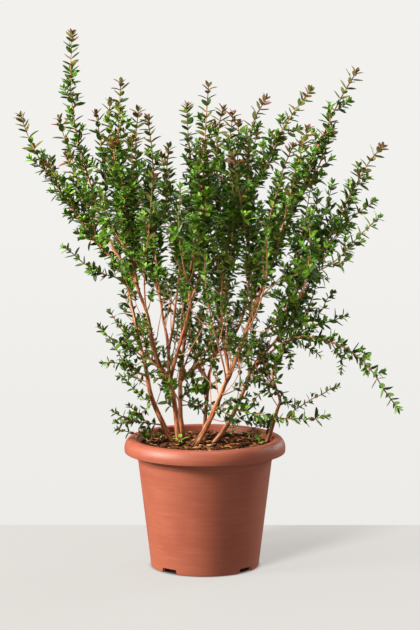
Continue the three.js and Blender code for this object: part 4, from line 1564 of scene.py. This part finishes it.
    def _grown(
        self, path: Path, distance: float, turn: float, lean: float, length: float, rng: random.Random,
        pull: float,
    ) -> Path:
        """The line of a twig that leaves another and curves up towards the light.

        Args:
            path: The line that it leaves.
            distance: Where on that line it begins.
            turn: The side it leaves on.
            lean: The angle between the two.
            length: Its length.
            rng: The source of chance.
            pull: How strongly it turns upwards.

        Returns:
            The twig's line.
        """
        along = path.direction(distance)
        heading = along * math.cos(lean) + across(along, turn) * math.sin(lean)
        places = [path.at(distance)]
        steps = max(3, round(length / self.habit.growth_step))
        for _ in range(steps):
            jitter = Vector([rng.uniform(-1, 1) for _ in range(3)]) * self.habit.jitter
            heading = (heading + UP * pull + along * self.habit.follow + jitter).normalized()
            places.append(places[-1] + heading * (length / steps))
        return Path(places)

    def leaves(
        self, root: str, twigs: Iterable[Twig], material: Material
    ) -> dict[bool, Object]:
        """Every leaf of one main stem, those on its branches as a piece of their own.

        Args:
            root: The main stem's name.
            twigs: Its leafy lines.
            material: The leaves' skin.

        Returns:
            The pieces, by whether they are the branches' leaves.
        """
        meshes = {False: bmesh.new()}
        rng = random.Random(f"{self.habit.seed}-{root}-leaves")
        for twig in twigs:
            if twig.forked not in meshes:
                meshes[twig.forked] = bmesh.new()
            self._leaf_twig(meshes[twig.forked], twig, rng)
        names = {False: root + "_leaves", True: root + "_branch_leaves"}
        return {forked: piece_from(bm, names[forked], material) for forked, bm in meshes.items()}

    def _leaf_twig(self, bm: BMesh, twig: Twig, rng: random.Random) -> None:
        """Sets pairs of leaves along a twig, each pair a quarter turn from the last.

        Args:
            bm: The piece's mesh.
            twig: The twig.
            rng: The source of chance.
        """
        left = 0.0
        turn = rng.uniform(0, TAU)
        rank = 0
        while twig.path.length - left > twig.start:
            distance = twig.path.length - left
            for side in (0.0, math.pi):
                self._leaf(bm, twig, distance, turn + side, rank, rng)
                if rank >= self.habit.young_pairs and rng.random() < self.habit.tuft_chance:
                    self._tuft(bm, twig, distance, turn + side, rng)
            turn += math.pi / 2 + rng.uniform(-0.25, 0.25)
            rank += 1
            left += self.habit.pair_gap * min(1.0, self.habit.gap_growth * rank) * rng.uniform(0.85, 1.15)

    def _leaf(
        self, bm: BMesh, twig: Twig, distance: float, turn: float, rank: int, rng: random.Random
    ) -> None:
        """Sets one leaf.

        Args:
            bm: The piece's mesh.
            twig: Its twig.
            distance: Where on the twig it sits.
            turn: The side it sits on.
            rank: How many pairs there are above it.
            rng: The source of chance.
        """
        along = twig.path.direction(distance)
        out = across(along, turn + rng.uniform(-0.25, 0.25))
        habit = self.habit
        opened = min(1.0, rank / habit.young_pairs)
        lean = math.radians(habit.leaf_lean + habit.leaf_opening * opened + rng.uniform(-10, 10))
        heading = (along * math.cos(lean) + out * math.sin(lean)).normalized()
        upper = along * math.sin(lean) - out * math.cos(lean) + UP * habit.leaf_uplook
        grown = habit.leader_size if twig.leader else habit.shaded_size if twig.shaded else 1.0
        size = (0.6 + 0.4 * opened) * rng.uniform(0.88, 1.12) * grown
        roll = Quaternion(heading, rng.gauss(0, habit.leaf_roll))
        matrix = frame_on(twig.path.at(distance), heading, roll @ upper)
        wide = size * rng.uniform(0.9, 1.15)
        matrix = matrix @ Matrix.Diagonal((size, wide, wide, 1.0))
        column = rng.choice(BROAD if twig.shaded or rank < habit.young_pairs else NARROW)
        self.atlas.add(bm, self._kind(twig, rank, rng), column, matrix)

    def _tuft(
        self, bm: BMesh, twig: Twig, distance: float, turn: float, rng: random.Random
    ) -> None:
        """Sets a tuft of small young leaves between a leaf and its twig.

        Args:
            bm: The piece's mesh.
            twig: The twig.
            distance: Where on the twig the tuft sits.
            turn: The side it sits on.
            rng: The source of chance.
        """
        along = twig.path.direction(distance)
        out = across(along, turn)
        axis = (along * 0.8 + out * 0.6).normalized()
        foot = twig.path.at(distance) + axis * 0.8 * MM
        spin = rng.uniform(0, TAU)
        habit = self.habit
        for i in range(rng.choice(habit.tuft_leaves)):
            side = across(axis, spin + i * habit.tuft_turn)
            lean = math.radians(rng.uniform(*habit.tuft_lean))
            heading = axis * math.cos(lean) + side * math.sin(lean)
            upper = axis * math.sin(lean) - side * math.cos(lean)
            size = rng.uniform(*habit.tuft_size)
            matrix = frame_on(foot + axis * i * 0.6 * MM, heading, upper) @ Matrix.Scale(size, 4)
            kind = rng.choice(TUFT_KINDS)
            self.atlas.add(bm, kind, rng.randrange(ATLAS_CELLS), matrix, small=True)

    def _kind(self, twig: Twig, rank: int, rng: random.Random) -> LeafKind:
        """A leaf's kind by its age: red or bronze at the tip, then fresher and darker greens.

        Args:
            twig: The twig.
            rank: How many pairs there are above the leaf.
            rng: The source of chance.

        Returns:
            The kind.
        """
        if twig.leader and rank < self.habit.red_pairs:
            return rng.choice(RED_KINDS)
        if twig.leader and rank < self.habit.bronze_pairs:
            return rng.choice(BRONZE_KINDS)
        if rank < self.habit.young_pairs and not twig.shaded:
            return rng.choice(YOUNG_KINDS)
        return rng.choice(GROWN_KINDS)

    def fine_twigs(self, root: str, twigs: Iterable[Twig], material: Material) -> Object:
        """The thin wood of one main stem's side twigs.

        Args:
            root: The main stem's name.
            twigs: Its leafy lines.
            material: The bark.

        Returns:
            The piece.
        """
        bm = bmesh.new()
        bark_layers(bm)
        for twig in twigs:
            if twig.radius[0]:
                first, last = twig.radius
                length = twig.path.length
                tube = Tube(
                    twig.path,
                    lambda d, first=first, last=last, length=length: first + (last - first) * d / length,
                    sides=5,
                    step=5 * MM,
                    age_at=lambda d, length=length: min(0.2, (length - d) / (220 * MM)),
                )
                join(bm, tube.build())
        return piece_from(bm, root + "_twigs", material)

    def build(self, bark: Material, skin: Material) -> None:
        """Builds and places the pieces of every main stem.

        Args:
            bark: The bark.
            skin: The leaves' skin.
        """
        for root in [limb.name for limb in LIMBS if not limb.parent]:
            members = [limb for limb in LIMBS if self.root_of(limb) == root]
            woody = [name for limb in members for name in limb.nodes[0]]
            leafy = [name for limb in members for name in limb.nodes[1]]
            twigs = list(self.twigs(root))
            settle(self.wood(root, bark), Slot.BARK, *woody)
            settle(self.fine_twigs(root, twigs, bark), Slot.BARK, *leafy)
            for forked, leaves in self.leaves(root, twigs, skin).items():
                own = [name for limb in members if self.forked(limb) is forked for name in limb.nodes[1]]
                settle(leaves, Slot.FOLIAGE, *own)


@dataclass
class Sprouts:
    """Young shoots that rise from the potting mix, each with a few bright pairs of leaves."""

    names: tuple = ("sprout_front", "sprout_back", "sprout_right")
    radius: float = 0.5 * MM
    gap: float = 4.2 * MM  # between leaf pairs
    foot_clear: float = 7 * MM  # no leaves this near to the potting mix
    leaf_lean: tuple = (45, 75)  # degrees from upright
    leaf_size: tuple = (0.75, 1.0)
    kinds: tuple = (LeafKind.SPROUT, LeafKind.SPROUT, LeafKind.BRIGHT)

    def build(self, atlas: LeafAtlas, bark: Material, skin: Material) -> None:
        """Builds and places every sprout.

        Args:
            atlas: The leaves.
            bark: The bark.
            skin: The leaves' skin.
        """
        for name in self.names:
            low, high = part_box(name)
            foot = Vector(((low.x + high.x) / 2, (low.y + high.y) / 2, low.z))
            top = Vector((foot.x, foot.y, high.z))
            path = Path([foot, foot.lerp(top, 0.5), top])
            stalk = bmesh.new()
            bark_layers(stalk)
            join(stalk, Tube(path, lambda distance: self.radius, sides=6, step=3 * MM).build())
            settle(piece_from(stalk, name + "_stalk", bark), Slot.BARK, name)
            settle(self._leaves(name, path, atlas, skin), Slot.YOUNG_LEAF, name)

    def _leaves(self, name: str, path: Path, atlas: LeafAtlas, skin: Material) -> Object:
        """The leaves of one sprout.

        Args:
            name: The sprout's name.
            path: Its stalk's line.
            atlas: The leaves.
            skin: Their skin.

        Returns:
            The piece.
        """
        rng = random.Random(name)
        bm = bmesh.new()
        left = 0.0
        turn = rng.uniform(0, TAU)
        while left < path.length - self.foot_clear:
            place = path.at(path.length - left)
            for side in (0.0, math.pi):
                lean = math.radians(rng.uniform(*self.leaf_lean))
                out = across(UP, turn + side)
                heading = UP * math.cos(lean) + out * math.sin(lean)
                upper = UP * math.sin(lean) - out * math.cos(lean)
                matrix = frame_on(place, heading, upper) @ Matrix.Scale(rng.uniform(*self.leaf_size), 4)
                atlas.add(bm, rng.choice(self.kinds), rng.choice(BROAD), matrix)
            turn += math.pi / 2
            left += self.gap
        return piece_from(bm, name + "_leaves", skin)


# ---------------------------------------------------------------------------------------------------
# The pot and the potting mix
# ---------------------------------------------------------------------------------------------------


def arc(centre: tuple, reach: tuple, start: float, end: float, steps: int) -> list[tuple[float, float]]:
    """Points on an elliptic arc.

    Args:
        centre: Radius and height of its centre.
        reach: Its half axes, outwards and upwards.
        start: The angle of its first point, in degrees from outwards towards upwards.
        end: The angle of its last point.
        steps: How many stretches it has.

    Returns:
        The points, as radius and height.
    """
    angles = [math.radians(start + (end - start) * i / steps) for i in range(steps + 1)]
    return [(centre[0] + reach[0] * math.cos(a), centre[1] + reach[1] * math.sin(a)) for a in angles]


def spun(profile: Sequence[tuple[float, float]], steps: int) -> BMesh:
    """Spins a profile of radius and height points about +Z into a closed shell.

    Args:
        profile: The points, from the axis back to the axis.
        steps: How many stretches the turn has.

    Returns:
        The mesh, smooth, with its faces outward.
    """
    bm = bmesh.new()
    verts = [bm.verts.new((radius, 0.0, height)) for radius, height in profile]
    edges = [bm.edges.new(pair) for pair in zip(verts, verts[1:])]
    bmesh.ops.spin(
        bm, geom=verts + edges, cent=(0, 0, 0), axis=(0, 0, 1), angle=TAU, steps=steps, use_merge=True
    )
    bmesh.ops.remove_doubles(bm, verts=bm.verts[:], dist=1e-6)
    bmesh.ops.recalc_face_normals(bm, faces=bm.faces[:])
    for face in bm.faces:
        face.smooth = True
    return bm


@dataclass
class Pot:
    """The moulded pot: foot ring with notches, tapered wall, collar and rolled rim."""

    wall: float = 2 * MM
    foot_radius: float = 61 * MM
    foot_width: float = 2.2 * MM
    floor_height: float = 8 * MM
    shoulder_radius: float = 75.7 * MM
    shoulder_height: float = 122 * MM
    rim_radius: float = 91 * MM
    rim_height: float = 147.5 * MM
    lip_height: float = 131 * MM
    mouth_radius: float = 78 * MM
    notch_width: float = 24 * MM
    notch_height: float = 6 * MM
    notch_turn: float = 49.0
    drain_radius: float = 5 * MM
    drain_circle: float = 38 * MM
    steps: int = 192
    corner: float = 1.2 * MM

    def wall_at(self, height: float) -> float:
        """The outside radius of the tapered wall at a height."""
        slope = (self.shoulder_radius - self.foot_radius) / self.shoulder_height
        return self.foot_radius + slope * height

    def profile(self) -> list[tuple[float, float]]:
        """The pot's section, from the axis under its floor round to the axis on its floor.

        Returns:
            Points of radius and height.
        """
        collar = self.shoulder_radius + 0.9 * MM
        crown = (82.5 * MM, 135.5 * MM)
        reach = (self.rim_radius - crown[0], self.rim_height - crown[1])
        lip = (self.rim_radius - 1.2 * MM, self.lip_height + 1 * MM)
        mouth = (self.mouth_radius + 1.6 * MM, self.rim_height - 1.9 * MM)
        inner_foot = self.foot_radius - self.foot_width - 1.2 * MM
        return [
            (0.0, self.floor_height),
            (inner_foot - 1.2 * MM, self.floor_height),
            *arc((inner_foot - 1.2 * MM, self.floor_height - 1 * MM), (1 * MM, 1 * MM), 60, 0, 3),
            (inner_foot - 0.1 * MM, 0.8 * MM),
            *arc((inner_foot + 0.7 * MM, 0.8 * MM), (0.8 * MM, 0.8 * MM), 180, 270, 4),
            *arc((self.foot_radius - 1.2 * MM, 1.2 * MM), (1.25 * MM, 1.2 * MM), 270, 352, 5),
            (self.wall_at(2.2 * MM), 2.2 * MM),
            *[(self.wall_at(z * MM), z * MM) for z in range(12, 121, 12)],
            (self.shoulder_radius, self.shoulder_height),
            *arc((collar - 0.6 * MM, self.shoulder_height + 1.2 * MM), (0.6 * MM, 0.6 * MM), -60, 0, 3),
            (collar + 0.4 * MM, self.lip_height - 2 * MM),
            (collar + 0.7 * MM, self.lip_height + 2 * MM),
            (self.mouth_radius + 1.2 * MM, self.rim_height - 4.5 * MM),
            (self.mouth_radius + 4.5 * MM, self.rim_height - self.wall - 0.4 * MM),
            (self.rim_radius - 4.2 * MM, self.rim_height - 6.5 * MM),
            (self.rim_radius - 2.4 * MM, self.rim_height - 12 * MM),
            *arc(lip, (1 * MM, 1 * MM), 180, 350, 8),
            *arc(crown, reach, 0, 100, 20),
            *arc(mouth, (1.6 * MM, 1.5 * MM), 110, 180, 5),
            (self.mouth_radius - 0.2 * MM, self.rim_height - 4 * MM),
            (self.wall_at(self.shoulder_height) - self.wall + 0.6 * MM, self.shoulder_height),
            (self.wall_at(self.floor_height) - self.wall, self.floor_height + self.wall + 2 * MM),
            (self.wall_at(self.floor_height) - self.wall - 2 * MM, self.floor_height + self.wall),
            (0.0, self.floor_height + self.wall),
        ]

    def _notch(self, turn: float) -> BMesh:
        """The cutter of one foot notch, with rounded upper corners.

        Args:
            turn: Its angle from the front towards +X, in degrees.

        Returns:
            The cutter's mesh.
        """
        bm = bmesh.new()
        bmesh.ops.create_cube(bm, size=1.0)
        bmesh.ops.scale(bm, vec=(self.notch_width, 14 * MM, 2 * self.notch_height), verts=bm.verts[:])
        top = [v for v in bm.verts if v.co.z > 0]
        bmesh.ops.scale(bm, vec=(0.84, 1.0, 1.0), verts=top)
        ridges = [e for e in bm.edges if all(v.co.z > 0 for v in e.verts) and self._runs_in(e)]
        bmesh.ops.bevel(
            bm, geom=ridges, offset=self.corner, affect="EDGES", segments=4, profile=0.5, material=-1
        )
        bmesh.ops.translate(bm, vec=(0.0, 2 * MM - self.foot_radius, 0.0), verts=bm.verts[:])
        matrix = Matrix.Rotation(math.radians(turn), 4, "Z")
        bmesh.ops.transform(bm, matrix=matrix, verts=bm.verts[:])
        return bm

    @staticmethod
    def _runs_in(edge: bmesh.types.BMEdge) -> bool:
        """Whether an edge runs along Y."""
        gap = edge.verts[1].co - edge.verts[0].co
        return abs(gap.y) > abs(gap.x)

    def _drain(self, turn: float) -> BMesh:
        """The cutter of one drain hole.

        Args:
            turn: Its angle about the axis, in degrees.

        Returns:
            The cutter's mesh.
        """
        bm = bmesh.new()
        place = Matrix.Rotation(math.radians(turn), 4, "Z") @ Matrix.Translation(
            (self.drain_circle, 0.0, self.floor_height)
        )
        bmesh.ops.create_cone(
            bm, cap_ends=True, segments=32, radius1=self.drain_radius, radius2=self.drain_radius,
            depth=12 * MM, matrix=place,
        )
        return bm

    def build(self, plastic: Material) -> None:
        """Builds and places the pot.

        Args:
            plastic: Its material.
        """
        cutters = bmesh.new()
        for quarter in range(4):
            join(cutters, self._notch(self.notch_turn + 90 * quarter))
            join(cutters, self._drain(90 * quarter))
        cutter = piece_from(cutters, "pot_cutter", plastic)
        pot = piece_from(spun(self.profile(), self.steps), "moulded_pot", plastic)
        cut = pot.modifiers.new("notches", "BOOLEAN")
        cut.operation = "DIFFERENCE"
        cut.solver = "EXACT"
        cut.object = cutter
        apply_modifiers(pot)
        bpy.data.objects.remove(cutter)
        pot.data.set_sharp_from_angle(angle=math.radians(40))
        settle(pot, Slot.POT, "pot")


def apply_modifiers(piece: Object) -> None:
    """Replaces a piece's mesh by what its modifiers make of it.

    Args:
        piece: The piece.
    """
    bpy.context.view_layer.update()
    graph = bpy.context.evaluated_depsgraph_get()
    mesh = bpy.data.meshes.new_from_object(piece.evaluated_get(graph))
    piece.modifiers.clear()
    piece.data = mesh


@dataclass
class PottingMix:
    """The compost with its crumbly top, and the bark chips and fibres that lie on it."""

    pot: Pot
    level: float = 139 * MM
    dome: float = 1.5 * MM
    relief: float = 1.9 * MM
    rings: int = 34
    steps: int = 150
    chips: int = 430
    chip_length: tuple = (4.0, 15.0)  # in millimetres
    chip_reach: float = 70 * MM  # how far from the axis they lie
    fibres: int = 110
    fibre_length: tuple = (8, 34)  # in millimetres
    fibre_reach: float = 62 * MM  # how far from the axis they begin
    fibre_limit: float = 73 * MM
    tones: int = 6
    seed: int = 4

    def top_at(self, x: float, y: float) -> float:
        """The height of the compost's top at a place.

        Args:
            x: The place's X.
            y: The place's Y.

        Returns:
            The height.
        """
        reach = math.hypot(x, y) / self.pot.mouth_radius
        clods = noise.fractal(Vector((x * 130, y * 130, 3.0)), 0.7, 2.1, 5)
        return self.level + self.dome * (1 - reach**2) + clods * self.relief * (1 - 0.5 * reach**6)

    def compost(self, peat: Material) -> None:
        """Builds and places the compost's whole body, which fills the pot.

        Args:
            peat: Its material.
        """
        pot = self.pot
        bottom = pot.floor_height + pot.wall + 0.35 * MM
        inside = [(pot.wall_at(z * MM) - pot.wall - 0.65 * MM, z * MM) for z in (13.5, 60, 100, 122)]
        edge = inside[-1][0] + 0.6 * MM
        profile = [
            (0.0, bottom),
            (inside[0][0] - 3 * MM, bottom),
            *inside,
            *[(edge * (1 - i / self.rings), self.level) for i in range(self.rings)],
            (0.0, self.level),
        ]
        bm = spun(profile, self.steps)
        for vert in bm.verts:
            if vert.co.z > self.level - MM:
                vert.co.z = self.top_at(vert.co.x, vert.co.y)
        settle(piece_from(bm, "compost", peat), Slot.POTTING_MIX, "potting_mix")

    def _chip(self, rng: random.Random, tone: float) -> bpy.types.Mesh:
        """One broken chip of bark, a long thin splinter with ragged ends.

        Args:
            rng: The source of chance.
            tone: How light it is, 0 to 1.

        Returns:
            The chip's mesh, about 1 long.
        """
        bm = bmesh.new()
        layer = bm.verts.layers.float.new(TONE)
        bmesh.ops.create_cube(bm, size=1.0)
        bmesh.ops.subdivide_edges(bm, edges=[e for e in bm.edges if self._long(e)], cuts=2)
        bmesh.ops.scale(bm, vec=(1.0, rng.uniform(0.14, 0.3), rng.uniform(0.07, 0.13)), verts=bm.verts[:])
        for vert in bm.verts:
            taper = 1 - 0.75 * max(0.0, abs(vert.co.x) * 2 - 0.4) ** 1.5
            vert.co.y *= taper
            vert.co.x += rng.uniform(-0.1, 0.1)
            vert.co.y += rng.uniform(-0.03, 0.03)
            vert.co.z += rng.uniform(-0.03, 0.03) - 0.12 * vert.co.x**2
            vert[layer] = tone
        bmesh.ops.recalc_face_normals(bm, faces=bm.faces[:])
        return mesh_from(bm, "chip")

    @staticmethod
    def _long(edge: bmesh.types.BMEdge) -> bool:
        """Whether an edge runs along X."""
        return abs(edge.verts[0].co.x - edge.verts[1].co.x) > 0.5

    def _spot(self, rng: random.Random, reach: float) -> Vector:
        """A place on the compost's top, by chance.

        Args:
            rng: The source of chance.
            reach: The greatest distance from the axis.

        Returns:
            The place.
        """
        radius = reach * math.sqrt(rng.random())
        turn = rng.uniform(0, TAU)
        x, y = radius * math.cos(turn), radius * math.sin(turn)
        return Vector((x, y, self.top_at(x, y)))

    def litter(self, wood: Material) -> None:
        """Builds and places the bark chips that lie on the compost.

        Args:
            wood: Their material.
        """
        rng = random.Random(self.seed)
        kinds = [self._chip(rng, (i / (self.tones - 1)) ** 1.7) for i in range(self.tones) for _ in range(3)]
        bm = bmesh.new()
        for _ in range(self.chips):
            size = rng.uniform(*self.chip_length) * MM
            place = self._spot(rng, self.chip_reach) + UP * rng.uniform(0.0, 2.6) * MM
            heading = Vector((1, 0, rng.uniform(-0.35, 0.35)))
            heading.rotate(Quaternion(UP, rng.uniform(0, TAU)))
            up = Vector((rng.uniform(-0.5, 0.5), rng.uniform(-0.5, 0.5), 1.0))
            stamp(bm, rng.choice(kinds), frame_on(place, heading, up) @ Matrix.Scale(size, 4))
        settle(piece_from(bm, "bark_chips", wood), Slot.POTTING_MIX, "potting_mix")

    def threads(self, wood: Material) -> None:
        """Builds and places the thin fibres, roots and dead twigs that lie among the chips.

        Args:
            wood: Their material.
        """
        rng = random.Random(self.seed + 1)
        bm = bmesh.new()
        for _ in range(self.fibres):
            length = rng.uniform(*self.fibre_length) * MM
            heading = Vector((1, 0, 0))
            heading.rotate(Quaternion(UP, rng.uniform(0, TAU)))
            place = self._spot(rng, self.fibre_reach) + UP * 0.8 * MM
            points = [place]
            for _ in range(4):
                heading.rotate(Quaternion(UP, rng.uniform(-0.4, 0.4)))
                step = points[-1] + heading * length / 4
                if math.hypot(step.x, step.y) > self.fibre_limit:
                    break
                step.z = self.top_at(step.x, step.y) + rng.uniform(0.3, 2.2) * MM
                points.append(step)
            if len(points) < 3:
                continue
            thick = rng.uniform(0.2, 0.55) * MM
            tube = Tube(Path(points), lambda d, thick=thick: thick, sides=5, step=4 * MM).build()
            layer = tube.verts.layers.float.new(TONE)
            tone = rng.uniform(0.1, 0.9)
            for vert in tube.verts:
                vert[layer] = tone
            join(bm, tube)
        settle(piece_from(bm, "fibres", wood), Slot.POTTING_MIX, "potting_mix")


# ---------------------------------------------------------------------------------------------------
# The studio
# ---------------------------------------------------------------------------------------------------


@dataclass
class Studio:
    """The camera, the lights, the pale surface and what lies behind it."""

    camera_place: tuple = (0.0057, -3.0, 0.7045)
    camera_target: tuple = (0.0057, 0.0, 0.2865)
    lens: float = 154.2
    board_back: float = 0.209
    backdrop_low: tuple = srgb(236, 235, 231)
    backdrop_high: tuple = srgb(242, 241, 238)
    backdrop_reach: tuple = (-0.24, -0.08)  # heights of the gaze between which the backdrop turns paler
    fill: tuple = (1.0, 0.93, 0.85, 1.0)
    daylight: float = 0.3
    lamp_target: tuple = (0.0, 0.0, 0.28)
    board_size: tuple = (6.0, 4.0, 0.02)

    def camera(self) -> None:
        """Sets the camera up."""
        data = bpy.data.cameras.new("camera")
        data.lens = self.lens
        data.sensor_width = 36.0
        camera = bpy.data.objects.new("camera", data)
        camera.location = self.camera_place
        gaze = Vector(self.camera_target) - Vector(self.camera_place)
        camera.rotation_mode = "QUATERNION"
        camera.rotation_quaternion = gaze.to_track_quat("-Z", "Y")
        bpy.context.scene.collection.objects.link(camera)
        bpy.context.scene.camera = camera

    def lamp(self, name: str, place: tuple, size: float, power: float, colour: tuple) -> None:
        """Adds a soft square light aimed at the plant.

        Args:
            name: Its name.
            place: Where it hangs.
            size: Its side.
            power: Its power in watts.
            colour: Its colour.
        """
        data = bpy.data.lights.new(name, "AREA")
        data.size = size
        data.energy = power
        data.color = colour
        lamp = bpy.data.objects.new(name, data)
        lamp.location = place
        lamp.rotation_mode = "QUATERNION"
        aim = Vector(self.lamp_target) - Vector(place)
        lamp.rotation_quaternion = aim.to_track_quat("-Z", "Y")
        bpy.context.scene.collection.objects.link(lamp)

    def world(self) -> None:
        """Makes the plain backdrop and the even light that comes from all round."""
        world = bpy.data.worlds.new("studio")
        world.use_nodes = True
        bpy.context.scene.world = world
        tree = world.node_tree
        tree.nodes.clear()
        sketch = Sketch(tree)
        gaze = sketch.add("ShaderNodeSeparateXYZ", {0: sketch.add("ShaderNodeTexCoord").outputs["Generated"]})
        fall = sketch.ramp(gaze.outputs[2], *self.backdrop_reach)
        wall = sketch.mix(fall, self.backdrop_low, self.backdrop_high)
        seen = sketch.add("ShaderNodeBackground", {"Color": wall, "Strength": 1.0})
        light = sketch.add("ShaderNodeBackground", {"Color": self.fill, "Strength": self.daylight})
        rays = sketch.add("ShaderNodeLightPath")
        inputs = {0: rays.outputs["Is Camera Ray"], 1: light.outputs[0], 2: seen.outputs[0]}
        both = sketch.add("ShaderNodeMixShader", inputs)
        sketch.add("ShaderNodeOutputWorld", {0: both.outputs[0]})

    def board(self, material: Material) -> None:
        """Lays the surface that the pot stands on, with its far edge behind the pot.

        Args:
            material: Its finish.
        """
        bm = bmesh.new()
        bmesh.ops.create_cube(bm, size=1.0)
        _, depth, thickness = self.board_size
        bmesh.ops.scale(bm, vec=self.board_size, verts=bm.verts[:])
        bmesh.ops.translate(bm, vec=(0.0, self.board_back - depth / 2, -thickness / 2), verts=bm.verts[:])
        floor = piece_from(bm, "floor", material)
        floor.visible_diffuse = False
        floor.visible_glossy = False
        floor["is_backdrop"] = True

    def build(self) -> None:
        """Sets up the whole studio."""
        self.camera()
        self.world()
        self.board(PaintedBoard().build())
        self.lamp("key_light", (-2.43, -0.98, 1.4), 0.8, 132.0, (1.0, 0.99, 0.97))
        self.lamp("top_light", (0.0, 0.0, 2.6), 1.4, 40.0, (1.0, 1.0, 1.0))
        self.lamp("back_light", (1.7, 1.3, 1.0), 0.6, 20.0, (0.92, 0.97, 1.0))
        bpy.context.scene.view_settings.view_transform = "Standard"


def main() -> None:
    """Builds the studio, the pot, the potting mix and the shrub."""
    Studio().build()
    pot = Pot()
    pot.build(MouldedPlastic().build())
    mix = PottingMix(pot)
    loose = LooseWood().build()
    mix.compost(DampPeat().build())
    mix.litter(loose)
    mix.threads(loose)
    bark = Bark().build()
    skin = LeafSkin().build()
    atlas = LeafAtlas()
    Shrub(Habit(), atlas).build(bark, skin)
    Sprouts().build(atlas, bark, skin)
    boxes = {"cad": CAD_BOX, "visual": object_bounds()}
    {name: [list(corner) for corner in box] for name, box in boxes.items()}


if __name__ == "__main__":
    logging.basicConfig(level=logging.INFO, format="%(name)s: %(message)s")
    main()
